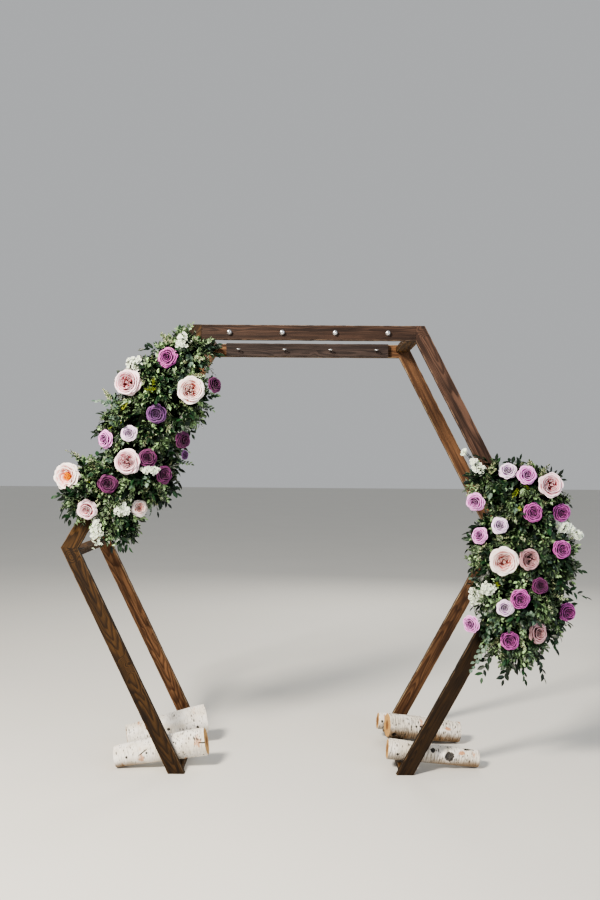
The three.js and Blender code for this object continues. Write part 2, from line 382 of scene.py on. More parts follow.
class Bench:
    """The node tree of one material, where a finish is put together."""

    def __init__(self, name: str) -> None:
        """Starts a material with a Principled shader.

        Args:
            name: The material's name.
        """
        material = bpy.data.materials.new(name)
        material.use_nodes = True
        self.tree = material.node_tree

    def add(
        self, kind: str, inputs: dict[int | str, object], output: int | str = 0, **settings: object
    ) -> Signal:
        """Adds a node, sets it up and feeds it.

        Args:
            kind: The node's type.
            inputs: A value or a signal for each input, by number or name.
            output: The output to give back, by number or name.
            **settings: The node's properties.

        Returns:
            That output.
        """
        node = self.tree.nodes.new(kind)
        for key, value in settings.items():
            setattr(node, key, value)
        for key, value in inputs.items():
            self.feed(node.inputs[key], value)
        return Signal(self, node.outputs[output])

    def feed(self, socket: bpy.types.NodeSocket, value: object) -> None:
        """Links a signal to a socket, or sets a plain value on it.

        Args:
            socket: The input.
            value: What it gets.
        """
        if isinstance(value, Signal):
            self.tree.links.new(value.socket, socket)
        else:
            socket.default_value = value

    def mark(self, key: str, output: str = "Vector") -> Signal:
        """Reads a value kept on the vertices."""
        return self.add("ShaderNodeAttribute", {}, output, attribute_name=key)

    def place(self) -> Signal:
        """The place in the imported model's frame."""
        return self.add("ShaderNodeTexCoord", {}, "Object")

    def vector(self, operation: str, *operands: object) -> Signal:
        """Adds a Vector Math node."""
        return self.add("ShaderNodeVectorMath", dict(enumerate(operands)), operation=operation)

    def split(self, vector: Signal) -> tuple[Signal, ...]:
        """The three numbers of a vector."""
        node = self.add("ShaderNodeSeparateXYZ", {0: vector}).socket.node
        return tuple(Signal(self, output) for output in node.outputs)

    def speckle(
        self, vector: Signal, stretch: Triple, detail: float = 2, roughness: float = 0.5, output: str = "Fac"
    ) -> Signal:
        """Smooth noise whose grains are drawn out by direction.

        Args:
            vector: Where to read it.
            stretch: Grains for each metre along the three axes.
            detail: How many finer layers it has.
            roughness: How strong the finer layers are.
            output: "Fac" for a number, "Color" for three.

        Returns:
            The noise, about 0.5 in the middle.
        """
        scaled = self.vector("MULTIPLY", vector, stretch)
        inputs = {"Vector": scaled, "Scale": 1.0, "Detail": detail, "Roughness": roughness}
        return self.add("ShaderNodeTexNoise", inputs, output)

    def cells(self, vector: Signal, stretch: Triple) -> Signal:
        """Distance, in cells, to the nearest of points strewn so many to the metre along each axis."""
        scaled = self.vector("MULTIPLY", vector, stretch)
        return self.add("ShaderNodeTexVoronoi", {"Vector": scaled, "Scale": 1.0}, "Distance")

    def layered(self, colour: Signal | Paint, *layers: tuple[Signal, Paint | Colour]) -> Signal:
        """Lays colours over one another.

        Args:
            colour: The lowest.
            *layers: The share, 0 to 1, and the colour of each that lies over it.

        Returns:
            The mixed colour.
        """
        for share, over in layers:
            pair = [linear(paint) if isinstance(paint, int) else paint for paint in (colour, over)]
            inputs = dict(zip((0, 6, 7), (share, *pair)))
            colour = self.add("ShaderNodeMix", inputs, 2, data_type="RGBA", clamp_factor=True)
        return colour

    def relief(self, height: Signal, depth: float, strength: float) -> Signal:
        """Turns a height, of which 1 is so many metres deep, into a bumped normal."""
        inputs = {"Height": height, "Distance": depth, "Strength": strength}
        return self.add("ShaderNodeBump", inputs, "Normal")

    def coat(self, **values: object) -> None:
        """Feeds the material's shader.

        Args:
            **values: Values or signals, by socket name with _ for each space.
        """
        shader = self.tree.nodes["Principled BSDF"]
        for key, value in values.items():
            self.feed(shader.inputs[key.replace("_", " ")], value)


@dataclass(frozen=True)
class Finish:
    """A surface finish, made once and shared by the pieces that have it."""

    name: str  # the material's name

    def material(self) -> Material:
        """Gives the finish's material, and makes it the first time."""
        if self.name not in bpy.data.materials:
            self.mix(Bench(self.name))
        return bpy.data.materials[self.name]

    def mix(self, bench: Bench) -> None:
        """Puts the finish together; each kind of finish has its own way."""
        raise NotImplementedError


@dataclass(frozen=True)
class StainedTimber(Finish):
    """Planed softwood under a worn stain, with rings, fibres, knots, rubbed arrises and a darkening by board
    that is partly more stain and partly painted shade.
    """

    light: Paint = 0x664928  # stain over the soft early wood
    dark: Paint = 0x1F140D  # stain over the hard late wood
    deep: Paint = 0x0F0A07  # knots and the darkest streaks
    worn: Paint = 0x967A5A  # wood showing where the arrises are rubbed
    wear: float = 0.5  # how much of the arrises is rubbed, 0 to 1
    half_width: float = 0.0445  # half the width of a board's face
    half_depth: float = 0.019  # half its thickness
    ring: float = 0.0019  # width of a year's ring

    def mix(self, bench: Bench) -> None:
        """Lays rings round a pith beside each board, and streaks, knots and wear over them.

        Args:
            bench: Where the finish is put together.
        """
        place = bench.mark("board_place")
        grain = bench.vector("ADD", place, bench.mark("board_shift"))
        wander = bench.speckle(grain, (1.6, 9, 9), 2, output="Color")
        bent = bench.vector("MULTIPLY_ADD", wander, (0.0, 0.018, 0.018), grain)
        along, across, deep = bench.split(bent)
        knot_gap = bench.cells(grain, (4.2, 4.2, 4.2))
        knots = 1 - knot_gap.rise(0.035, 0.075)
        swirl = 1 - knot_gap.rise(0.03, 0.28)
        pith = deep + along * bench.mark("board_slope", "Fac")
        radius = (across * across + pith * pith) ** 0.5
        band = ((radius + swirl * 0.012) / self.ring).fraction()
        late = band.rise(0.20, 0.80) * (1 - band.rise(0.86, 1.0))
        fibre = bench.speckle(grain, (10, 420, 420), 3, 0.6)
        streak = bench.speckle(grain, (2.2, 55, 55), 3, 0.55)
        blotch = bench.speckle(grain, (3.5, 14, 14), 3, 0.6)
        _, beside, behind = bench.split(place)
        edge = (self.half_width - abs(beside)).larger(self.half_depth - abs(behind))
        rubbed = (1 - edge.rise(0.0008, 0.0050)) * bench.speckle(grain, (18, 60, 60), 3).rise(0.35, 0.65)
        colour = bench.layered(
            self.light,
            (late * 0.72, self.dark),
            (streak.rise(0.42, 0.64) * 0.75, self.dark),
            (fibre.rise(0.5, 0.72) * 0.5, self.deep),
            (blotch.rise(0.42, 0.7) * 0.45, self.deep),
            (knots * 0.9, self.deep),
            # Each board's darkening: partly more stain taken up, partly painted shade.
            (bench.mark("board_stain_and_painted_shade", "Fac"), self.deep),
            (rubbed * self.wear, self.worn),
        )
        bench.coat(
            Base_Color=colour,
            Roughness=0.5 + fibre * 0.25 + rubbed * 0.1,
            Normal=bench.relief(late * 0.5 + fibre * 0.5 - knots * 0.4, 0.0012, 0.7),
            Specular_IOR_Level=0.2,
        )


@dataclass(frozen=True)
class BrightMetal(Finish):
    """Zinc-plated steel with fine turning marks and dull patches."""

    bright: Paint = 0xD6D8DA  # the clean plate
    dull: Paint = 0x969696  # the dulled plate

    def mix(self, bench: Bench) -> None:
        """Mixes clean and dulled plate, rougher where it is dull.

        Args:
            bench: Where the finish is put together.
        """
        place = bench.place()
        patch = bench.speckle(place, (90, 90, 90), 4, 0.6).rise(0.4, 0.7)
        marks = bench.speckle(place, (300, 2400, 300), 2)
        bench.coat(
            Base_Color=bench.layered(self.bright, (patch * 0.7, self.dull)),
            Metallic=1.0,
            Roughness=0.22 + patch * 0.2 + marks * 0.08,
            Normal=bench.relief(marks, 0.00008, 0.5),
        )


@dataclass(frozen=True)
class BirchBark(Finish):
    """White birch bark with dark breathing marks, peeled patches, earth near the ground and painted shade
    with some earth on its underside.
    """

    white: Paint = 0xF7F3EC  # clean bark
    cream: Paint = 0xE0D8CA  # older bark
    peeled: Paint = 0xBE8458  # under-bark where it has come off
    dark: Paint = 0x14100F  # knots and breathing marks
    soil_and_shade: Paint = 0x705430  # earth stain near the ground, and the grey-brown of the painted shade on the underside
    crack: tuple[float, float] = (0.034, 0.0044)  # half the length and width of a crack
    peel: tuple[float, float] = (0.022, 0.0110)  # half the length and width of a peeled patch

    def mix(self, bench: Bench) -> None:
        """Draws the marks round the log and the patches along it.

        Args:
            bench: Where the finish is put together.
        """
        bark = bench.vector("ADD", bench.mark("log_place"), bench.mark("log_shift"))
        age = bench.mark("log_age", "Fac")
        cloud = bench.speckle(bark, (14, 14, 9), 4, 0.6)
        patch = bench.speckle(bark, (9, 9, 16), 3, 0.6).rise(0.60, 0.68)
        lines = (bench.speckle(bark, (22, 22, 300), 3, 0.55) + age * 0.05).rise(0.56, 0.68)
        _, up, _ = bench.split(bench.mark("log_place"))
        streaks = bench.speckle(bark, (9, 9, 190), 3, 0.6)
        # Painted shade: the log's underside turns grey-brown, with some earth stain and dark streaks, more on
        # old bark.
        under = (streaks * 0.055 + cloud * 0.02 - up).rise(0.020, 0.066) * age
        dashes = self.marks_round(bench, bark, (34, 34, 105), age)
        wide = self.marks_round(bench, bark, (21, 21, 60), age * 1.4 - 0.5)
        ragged = bench.speckle(bark, (110, 110, 220), 3, 0.6)
        torn = bench.speckle(bark, (42, 42, 60), 2, 0.6)
        knots = (bench.mark("log_knot", "Fac") + (ragged - 0.5) * 0.5 + (torn - 0.5) * 0.7).rise(0.34, 0.50)
        fray = ragged - 0.5
        _, _, level = bench.split(bench.place())
        smear = (level - cloud * 0.03).rise(0.004, 0.040)
        colour = bench.layered(
            self.white,
            ((cloud + age * 0.10).rise(0.35, 0.68), self.cream),
            (patch * 0.75, self.peeled),
            (lines * (0.45 + age * 0.2), self.dark),
            (under * 0.85, self.soil_and_shade),
            (under * streaks.rise(0.50, 0.62) * 0.8, self.dark),
            (dashes.larger(wide) * 0.9, self.dark),
            (knots * (0.78 + ragged * 0.3), self.dark),
            (self.on_front(bench, "log_crack", *self.crack, fray * 0.5), self.dark),
            (self.on_front(bench, "log_branch", *self.crack, fray * 0.5), self.dark),
            (self.on_front(bench, "log_peel", *self.peel, fray * 1.4) * 0.85, self.peeled),
            ((1 - smear) * 0.7, self.soil_and_shade),
        )
        height = cloud * 0.4 + lines * -0.25 + dashes * 0.5 - patch * 0.4 + ragged * 0.15
        bench.coat(
            Base_Color=colour,
            Roughness=0.62 + cloud * 0.2 + knots * 0.1,
            Normal=bench.relief(height, 0.0016, 0.8),
            Specular_IOR_Level=0.3,
        )

    @staticmethod
    def marks_round(bench: Bench, bark: Signal, stretch: Triple, age: Signal) -> Signal:
        """Draws short dark marks that run round the log, 1 on each, and more of them on old bark."""
        seldom = (bench.speckle(bark, (12, 12, 20), 2) + age * 0.09).rise(0.47, 0.55)
        return (1 - bench.cells(bark, stretch).rise(0.16, 0.27)) * seldom

    @staticmethod
    def on_front(bench: Bench, key: str, half_length: float, half_width: float, fray: Signal) -> Signal:
        """Marks a slanting patch on the side of a log that faces the viewer.

        Args:
            bench: Where the finish is put together.
            key: The attribute with the patch's place up and along the log, and its slant.
            half_length: Half its length.
            half_width: Half its width.
            fray: Noise about 0 that frays its edge.

        Returns:
            1 inside the patch, 0 outside.
        """
        towards, up, along = bench.split(bench.mark("log_place"))
        patch_up, patch_along, slant = bench.split(bench.mark(key))
        beyond = along - patch_along
        beside = up - patch_up - beyond * slant
        reach = ((beyond / half_length) ** 2 + (beside / half_width) ** 2) ** 0.5
        return (1 - (reach + fray).rise(0.7, 1.0)) * towards.rise(0.0, 0.01)


@dataclass(frozen=True)
class CutWood(Finish):
    """The sawn end of a log: rings, checks and a dark line of bark."""

    light: Paint = 0xCAA26A  # early wood
    dark: Paint = 0x7C522C  # late wood and checks
    heart: Paint = 0x623620  # the stained middle
    ring: float = 0.0036  # width of a year's ring

    def mix(self, bench: Bench) -> None:
        """Lays rings round the log's own middle.

        Args:
            bench: Where the finish is put together.
        """
        place = bench.mark("log_place")
        wander = bench.speckle(place, (30, 30, 0), 3, output="Color")
        bent = bench.vector("MULTIPLY_ADD", wander, (0.008, 0.008, 0.0), place)
        across, upward, _ = bench.split(bent)
        radius = ((across - 0.004) ** 2 + (upward - 0.004) ** 2) ** 0.5
        rings = (radius / self.ring).fraction() ** 2
        saw = bench.speckle(place, (60, 900, 0), 2)
        colour = bench.layered(
            self.light,
            (rings * 0.55, self.dark),
            ((1 - (radius + saw * 0.006).rise(0.022, 0.044)) * 0.75, self.heart),
            (saw.rise(0.5, 0.7) * 0.35, self.dark),
        )
        bench.coat(
            Base_Color=colour,
            Roughness=0.8 + saw * 0.1,
            Normal=bench.relief(rings * 0.4 + saw * 0.6, 0.0010, 0.8),
            Specular_IOR_Level=0.25,
        )


@dataclass(frozen=True)
class Petals(Finish):
    """Soft petals that change colour from the bloom's heart to its rim, with painted shade low in each petal
    and a painted highlight on its rim.
    """

    heart: Paint  # petals in the middle of the bloom
    body: Paint  # the outer petals
    rim: Paint  # the petals' thin edges: their paler colour, lightened further as a painted highlight
    throat: Paint  # painted shade at the foot of each petal, where little light comes; also the veins' colour
    rim_start: float = 0.82  # how far up the petal its rim starts, 0 to 1

    def mix(self, bench: Bench) -> None:
        """Shades along each petal, and draws its veins.

        Args:
            bench: Where the finish is put together.
        """
        across, along, tone = bench.split(bench.mark("petal"))
        veins = bench.speckle(bench.mark("petal"), (11, 1.6, 9), 3, 0.6)
        # Painted shade low on each petal, and a paler rim that also carries a painted highlight.
        painted_shade = 1 - along.rise(self.rim_start - 0.38, self.rim_start + 0.10)
        edge = (along + abs(across) * 0.05).rise(self.rim_start, self.rim_start + 0.12)
        colour = bench.layered(
            self.heart,
            (bench.mark("whorl", "Fac").rise(0.05, 0.75), self.body),
            (painted_shade * 0.9, self.throat),
            (edge * 0.85, self.rim),
            (veins.rise(0.45, 0.75) * 0.25, self.throat),
            (tone * 0.12, self.rim),
        )
        bench.coat(
            Base_Color=colour,
            Roughness=0.52 + veins * 0.15,
            Normal=bench.relief(veins, 0.0006, 0.5),
            Specular_IOR_Level=0.3,
            Sheen_Weight=0.12,
        )


@dataclass(frozen=True)
class Leaves(Finish):
    """Leaves with a pale midrib and side veins, each of its own tone, from old leaves painted dark as if
    shaded to young leaves painted bright as if glinting.
    """

    young_and_glinting: Paint  # the lightest leaves: young ones, with a painted glint of light
    old: Paint  # the darkest leaves: old ones, painted near black as shade
    rib: Paint  # the midrib
    gloss: float  # the roughness of the upper side
    edged: float = 0.0  # how much of a pale margin the leaves have, 0 to 1
    margin: Paint = 0xE2E2BC  # that margin

    def mix(self, bench: Bench) -> None:
        """Mixes the leaf's tone, its midrib and its side veins.

        Args:
            bench: Where the finish is put together.
        """
        leaf = bench.mark("leaf")
        across, along, tone = bench.split(leaf)
        mottle = bench.speckle(leaf, (3, 4, 40), 3, 0.6)
        slant = ((along - abs(across) * 0.5) * 7).fraction()
        veins = 1 - slant.rise(0.05, 0.16) * (1 - slant.rise(0.84, 0.95))
        midrib = 1 - abs(across).rise(0.03, 0.14)
        colour = bench.layered(
            self.old,
            (tone, self.young_and_glinting),
            (mottle.rise(0.4, 0.8) * 0.35, self.old),
            (veins * 0.22 + midrib * 0.55, self.rib),
        )
        if self.edged:
            pale = (abs(across) + mottle * 0.5 - 0.25).rise(0.34, 0.62)
            colour = bench.layered(colour, (pale * self.edged, self.margin))
        bench.coat(
            Base_Color=colour,
            Roughness=self.gloss + mottle * 0.2,
            Normal=bench.relief(veins * 0.5 + midrib, 0.0006, 0.6),
            Specular_IOR_Level=0.4,
        )


@dataclass(frozen=True)
class Moss(Finish):
    """The tangle of stems and moss that the flowers are pushed into, painted near black as the shade deep
    among the leaves.
    """

    light: Paint = 0x2C3C1E  # tufts painted lighter, as moss that catches light
    dark: Paint = 0x050804  # painted shade of the gaps in it

    def mix(self, bench: Bench) -> None:
        """Mixes light tufts into dark gaps.

        Args:
            bench: Where the finish is put together.
        """
        place = bench.place()
        tufts = bench.speckle(place, (90, 90, 90), 5, 0.7)
        strands = bench.speckle(place, (60, 420, 420), 3, 0.6)
        caught = tufts.rise(0.5, 0.72) * strands.rise(0.35, 0.6)
        bench.coat(
            Base_Color=bench.layered(self.dark, (caught, self.light)),
            Roughness=0.85 + tufts * 0.1,
            Normal=bench.relief(tufts + strands * 0.4, 0.010, 0.9),
            Specular_IOR_Level=0.15,
        )


@dataclass(frozen=True)
class PalePlaster(Finish):
    """The studio floor, almost even in colour."""

    pale: Paint = 0xDEDCD6
    shade: float = 0.95  # how light its clouds are beside it

    def mix(self, bench: Bench) -> None:
        """Clouds the colour very slightly.

        Args:
            bench: Where the finish is put together.
        """
        cloud = bench.speckle(bench.place(), (0.8, 0.8, 0.8), 3)
        clouded = (*(level * self.shade for level in linear(self.pale)[:3]), 1.0)
        colour = bench.layered(self.pale, (cloud, clouded))
        bench.coat(Base_Color=colour, Roughness=0.9, Specular_IOR_Level=0.1)


FRONT_STAIN = StainedTimber("walnut_stain")
# The front top beam and upper right board: a cooler stain whose cool tone is partly a painted reflection of
# the sky.
BEAM_STAIN_AND_REFLECTION = StainedTimber("cool_walnut_stain", 0x5D4538, 0x2A1D18, 0x130D0B, 0xA88E76, 0.65)
BACK_STAIN = StainedTimber("worn_walnut_stain", 0x886345, 0x3C2619, 0x1F130D, 0xC4B08C, 0.8)
GREY_STAIN = StainedTimber("grey_stain", 0x4A3D38, 0x221B1A, 0x130F0E, 0x7E7268, 0.4)
ZINC = BrightMetal("zinc_plate")
BARK = BirchBark("birch_bark")
SAWN = CutWood("sawn_birch")
MOSS = Moss("moss_and_stems")
PLASTER = PalePlaster("pale_floor")
BOX_GREEN = Leaves("box_leaves", 0xB8E09E, 0x050C07, 0xA8C898, 0.22)
RUSCUS_GREEN = Leaves("ruscus_leaves", 0x24482A, 0x040B07, 0x385838, 0.22)
GREY_GREEN = Leaves("grey_leaves", 0x96AE9A, 0x385246, 0x9EAE98, 0.38)
EDGED_GREEN = Leaves("pale_edged_leaves", 0x5C8250, 0x1E3C22, 0x8CA070, 0.32, edged=0.95)
LIME_GREEN = Leaves("lime_leaves", 0xACB034, 0x5C701E, 0xBEBE5A, 0.45)
STEM_GREEN = Leaves("green_stems", 0x546232, 0x2E3A1C, 0x5C663C, 0.5)
WHITE_FLORETS = Petals("white_florets", 0xE2EACC, 0xF9FDFA, 0xFFFFFF, 0xC4D4B0)
GOLD_ANTHERS = Petals("gold_anthers", 0xE88408, 0xFCA810, 0xFFC83C, 0xB85C06)


class Variety(Enum):
    """The petal finishes of the blooms."""

    MAGENTA = Petals("magenta_petals", 0x38042A, 0x480A38, 0xFA82E2, 0x160110, 0.90)
    VIOLET = Petals("violet_petals", 0x280A2E, 0x3E1A48, 0x9664A0, 0x140318, 0.89)
    LAVENDER = Petals("lavender_petals", 0x702E7E, 0xB87AC2, 0xFFEEFF, 0x481A56)
    LILAC = Petals("lilac_petals", 0x7A1462, 0xBE46AA, 0xFFBEFC, 0x46083A, 0.86)
    PLUM = Petals("plum_petals", 0x24031B, 0x360A2B, 0x8C447A, 0x10010C, 0.89)
    BLUSH = Petals("blush_petals", 0xCA484E, 0xF2B0C0, 0xFFF0F7, 0xA6323C)
    PEACH = Petals("peach_petals", 0x681618, 0x9E5A5E, 0xDEB6BC, 0x501216)
    CREAM = Petals("cream_petals", 0xEE8470, 0xFEE0DC, 0xFFFBF9, 0xD6685E)


# The timber


@dataclass
class BoardLie:
    """How a board lies: its middle and its directions."""

    middle: Vector
    along: Vector  # its long direction
    across: Vector  # the direction across its face
    deep: Vector  # the direction through its thickness

    @classmethod
    def measured(cls, mesh: Mesh) -> "BoardLie":
        """Finds a board's directions from its longest edge and its thinnest side.

        Args:
            mesh: The board's merged mesh.

        Returns:
            How it lies.
        """
        places = places_of(mesh)
        pairs = [edge.vertices for edge in mesh.edges]
        longest = max(pairs, key=lambda pair: np.linalg.norm(places[pair[0]] - places[pair[1]]))
        along = Vector(places[longest[1]] - places[longest[0]]).normalized()
        extent = np.ptp(places, axis=0)
        thin = min((axis for axis in range(3) if abs(along[axis]) < 0.2), key=lambda axis: extent[axis])
        deep = Vector([float(axis == thin) for axis in range(3)])
        across = deep.cross(along).normalized()
        axes = np.array([along, across, deep])
        local = places @ axes.T
        middle = (local.min(axis=0) + local.max(axis=0)) / 2
        return cls(Vector(middle @ axes), along, across, deep)

    def local(self, places: np.ndarray) -> np.ndarray:
        """Turns places into distances along, across and through the board."""
        return (places - np.array(self.middle)) @ np.array([self.along, self.across, self.deep]).T


# How much darker a board is made, 0 to 1, partly for more stain taken up and partly as painted shade, as on
# the front legs under the arrangements, and how steeply its rings run out of its face.
USUAL_LOOK = (0.1, 0.012)
BOARD_LOOKS = {
    "front_left_leg": (0.52, 0.016),
    "front_right_leg": (0.72, 0.010),
    "front_top_beam": (0.44, 0.003),
    "front_upper_right": (0.00, 0.008),
    "front_upper_left": (0.35, 0.014),
    "back_left_leg": (0.00, 0.014),
    "back_right_leg": (0.50, 0.010),
    "back_eye_board": (0.15, 0.002),
}


@dataclass
class TimberFrame:
    """The boards: both hexagon frames, the ties between them and the eye board."""

    nodes: Nodes
    arris: float = 0.0042  # radius of the eased long edges
    cut_share: float = 0.25  # how sharp the cut ends stay, as a share of that radius
    station: float = 0.028  # distance between the cuts that let the edges be uneven
    nick: float = 0.00308  # how deep the roughest places of an arris are nicked
    dice: random.Random = field(default_factory=lambda: random.Random(11))

    def finish_of(self, name: str) -> tuple[StainedTimber, str]:
        """Gives a board's finish.

        Args:
            name: The board's node.

        Returns:
            The finish and the record's slot for it.
        """
        if name == "back_eye_board":
            return GREY_STAIN, "grey_timber"
        if name.startswith("back_"):
            return BACK_STAIN, "back_timber"
        return BEAM_STAIN_AND_REFLECTION if name in ("front_top_beam", "front_upper_right") else FRONT_STAIN, "timber"

    def copy_of(self, name: str) -> Piece:
        """Copies a board's node into a piece of its own, merged and with whole faces.

        Args:
            name: The node.

        Returns:
            The copy.
        """
        piece = linked(f"{name}_board", self.nodes[name].data.copy())
        with editing(piece):
            bpy.ops.mesh.remove_doubles(threshold=MERGE)
            bpy.ops.mesh.dissolve_limited(angle_limit=math.radians(0.5))
        return piece

    def board(self, name: str) -> None:
        """Models one board with eased, slightly nicked edges.

        Args:
            name: The board's node.
        """
        piece = self.copy_of(name)
        mesh = piece.data
        lie = BoardLie.measured(mesh)
        weights = mesh.attributes.new("bevel_weight_edge", "FLOAT", "EDGE")
        for edge, weight in zip(mesh.edges, weights.data):
            run = mesh.vertices[edge.vertices[1]].co - mesh.vertices[edge.vertices[0]].co
            weight.value = 1.0 if abs(run.normalized().dot(lie.along)) > 0.98 else self.cut_share
        bevel = piece.modifiers.new("eased_edges", "BEVEL")
        bevel.limit_method = "WEIGHT"
        bevel.width = self.arris
        bevel.segments = 3
        apply_modifiers(piece)
        reach = lie.local(places_of(mesh))[:, 0]
        start, length = reach.min(), reach.max() - reach.min()
        cuts = int(length / self.station)
        with editing(piece):
            cut_across(lie.middle, lie.along, [start + length * cut / cuts for cut in range(1, cuts)])
        self.wear_down(mesh, lie)
        for key, value in zip(("board_stain_and_painted_shade", "board_slope"), BOARD_LOOKS.get(name, USUAL_LOOK)):
            write_mark(mesh, key, np.full(len(mesh.vertices), value))
        smooth(piece, 40)
        piece.modifiers.new("flat_faces", "WEIGHTED_NORMAL").keep_sharp = True
        apply_modifiers(piece)
        finish, slot = self.finish_of(name)
        dress(piece, finish)
        report(piece, slot, name)

    def wear_down(self, mesh: Mesh, lie: BoardLie) -> None:
        """Nicks the arrises and writes the grain's coordinates.

        Args:
            mesh: The board's mesh.
            lie: How it lies.
        """
        places = places_of(mesh)
        local = lie.local(places)
        shift = np.array([self.dice.uniform(*limits) for limits in ((0, 40), (-0.05, 0.05), (0.05, 0.12))])
        half = np.abs(local).max(axis=0)
        for place, spot in zip(places, local):
            near = max(half[1] - abs(spot[1]), half[2] - abs(spot[2]))
            if near < self.arris * 1.1 and half[0] - abs(spot[0]) > self.station:
                rough = noise.noise(Vector((spot + shift) * np.array([22, 3, 3])))
                inward = -np.sign(spot[1]) * np.array(lie.across) - np.sign(spot[2]) * np.array(lie.deep)
                place += inward * self.nick * max(0.0, rough - 0.1)
        mesh.vertices.foreach_set("co", places.ravel())
        write_mark(mesh, "board_place", local)
        write_mark(mesh, "board_shift", np.tile(shift, (len(local), 1)))

    def build(self) -> None:
        """Models every board."""
        for name in sorted(self.nodes):
            if name.endswith(BOARD_ENDINGS + ("_eye_board",)):
                self.board(name)


# Knobs and screw eyes


def turned(profile: tuple[tuple[float, float], ...], sides: int) -> Piece:
    """Turns a solid on the Z axis by extruding and widening a disc.

    Args:
        profile: Radius and height of each ring in millimetres, from the bottom up.
        sides: Number of sides.

    Returns:
        The turned piece, standing on its first ring.
    """
    clear_selection()
    rings = [(radius / 1000, height / 1000) for radius, height in profile]
    radius, height = rings[0]
    bpy.ops.mesh.primitive_circle_add(
        vertices=sides, radius=radius, fill_type="NGON", location=(0, 0, height)
    )
    piece = bpy.context.object
    fix_in_place(piece)
    with editing(piece):
        bpy.ops.mesh.select_mode(type="FACE")
        for next_radius, next_height in rings[1:]:
            lift = {"value": (0, 0, next_height - height)}
            bpy.ops.mesh.extrude_region_move(TRANSFORM_OT_translate=lift)
            widen = next_radius / radius
            bpy.ops.transform.resize(value=(widen, widen, 1))
            radius, height = next_radius, next_height
        bpy.ops.mesh.select_all(action="SELECT")
        bpy.ops.mesh.normals_make_consistent(inside=False)
    return piece


@dataclass
class Fasteners:
    """The knobs on the front beam and the screw eyes behind it."""

    count: int = 4  # how many there are of each
    sides: int = 32  # sides of their round sections
    ring_radius: float = 0.0145  # middle radius of a screw eye's ring
    wire_radius: float = 0.0028  # radius of its wire
    ring_depth: float = 0.016  # from a screw eye's seat to its ring
    # Radius and height of each ring of vertices, in millimetres.
    knob_profile: tuple[tuple[float, float], ...] = (
        (15.0, 0.0), (15.0, 1.4), (8.8, 1.6), (8.6, 5.0), (11.8, 6.6), (14.0, 9.2), (14.6, 12.4),
        (13.8, 15.8), (11.5, 18.9), (8.0, 21.1), (4.0, 22.2), (1.2, 22.4),
    )
    shank_profile: tuple[tuple[float, float], ...] = (
        (2.8, -17.6), (2.9, -12.0), (4.2, -10.5), (4.4, -8.5), (3.0, -7.0), (2.7, -5.5), (3.2, -4.8),
        (2.7, -4.0), (3.2, -3.2), (2.7, -2.4), (3.2, -1.6), (2.8, 0.0),
    )

    def knob(self) -> Shape:
        """Models a mushroom-headed knob on a washer, its axis up."""
        return Shape.taken_from(turned(self.knob_profile, self.sides))

    def screw_eye(self) -> Shape:
        """Models a screw eye, its shank along the Z axis and its ring below.

        Returns:
            The screw eye.
        """
        clear_selection()
        bpy.ops.mesh.primitive_torus_add(
            major_radius=self.ring_radius,
            minor_radius=self.wire_radius,
            major_segments=self.sides,
            minor_segments=12,
            location=(0, 0, -self.ring_depth - self.ring_radius),
            rotation=(math.radians(90), 0, 0),
        )
        ring = bpy.context.object
        fix_in_place(ring)
        shank = turned(self.shank_profile, 16)
        union = ring.modifiers.new("shank", "BOOLEAN")
        union.operation = "UNION"
        union.object = shank
        apply_modifiers(ring)
        bpy.data.objects.remove(shank)
        return Shape.taken_from(ring)

    def build(self) -> None:
        """Copies both to their nodes."""
        standing_out = np.array([[1, 0, 0], [0, 0, -1], [0, 1, 0]])
        screwed_in = np.array([[1, 0, 0], [0, 0, 1], [0, -1, 0]])
        kinds = (("front_knob", self.knob(), standing_out), ("back_screw_eye", self.screw_eye(), screwed_in))
        for kind, shape, axes in kinds:
            for number in range(1, self.count + 1):
                node = f"{kind}_{number}"
                low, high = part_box(node)
                seat = np.array([(low.x + high.x) / 2, high.y, (low.z + high.z) / 2])
                piece = shape.placed(axes, seat).as_piece(f"{node}_plated", [ZINC], 35)
                report(piece, "steel", node)


# The logs


@dataclass(frozen=True)
class Knot:
    """A knot in a log's bark."""

    share: float  # how far along the log it is, from the outer end
    turn: float  # which way it faces, in degrees up from the side towards the viewer
    radius: float


@dataclass(frozen=True)
class LogSkin:
    """What one log's bark shows.

    A patch is given by its height off the axis, its share along the log and its slant, and one
    that a log doesn't have lies far off it.
    """

    age: float  # how old and marked the bark is, 0 to 1; more of it also paints more shade on the underside
    knots: tuple[Knot, ...]
    crack: Triple = (9.0, 0.5, 0.0)  # a dark crack
    branch: Triple = (9.0, 0.5, 0.0)  # a torn branch mark
    peel: Triple = (9.0, 0.5, 0.0)  # a peeled patch


LOG_SKINS = {
    "left_back_log": LogSkin(
        0.10,
        (Knot(0.50, 6, 0.010), Knot(0.86, -12, 0.010), Knot(0.24, -28, 0.007)),
        peel=(-0.030, 0.25, 0.15),
    ),
    "left_front_log": LogSkin(
        0.15,
        (Knot(0.14, 2, 0.007), Knot(0.36, 8, 0.007), Knot(0.66, 34, 0.006)),
        crack=(0.016, 0.32, 0.55),
        branch=(0.018, 0.97, -0.12),
    ),
    "right_back_log": LogSkin(
        1.0, (Knot(0.58, 24, 0.008), Knot(0.64, 22, 0.007), Knot(0.93, -28, 0.014)), peel=(0.030, 0.20, 0.10)
    ),
    "right_end_log": LogSkin(0.5, (Knot(0.30, 40, 0.009), Knot(0.95, 12, 0.008)), crack=(0.012, 0.60, 0.10)),
    "right_front_log": LogSkin(
        0.6,
        (Knot(0.34, 12, 0.026), Knot(0.52, 34, 0.014), Knot(0.90, -8, 0.008)),
        branch=(0.052, 0.12, -0.10),
        peel=(0.034, 0.20, -0.10),
    ),
}


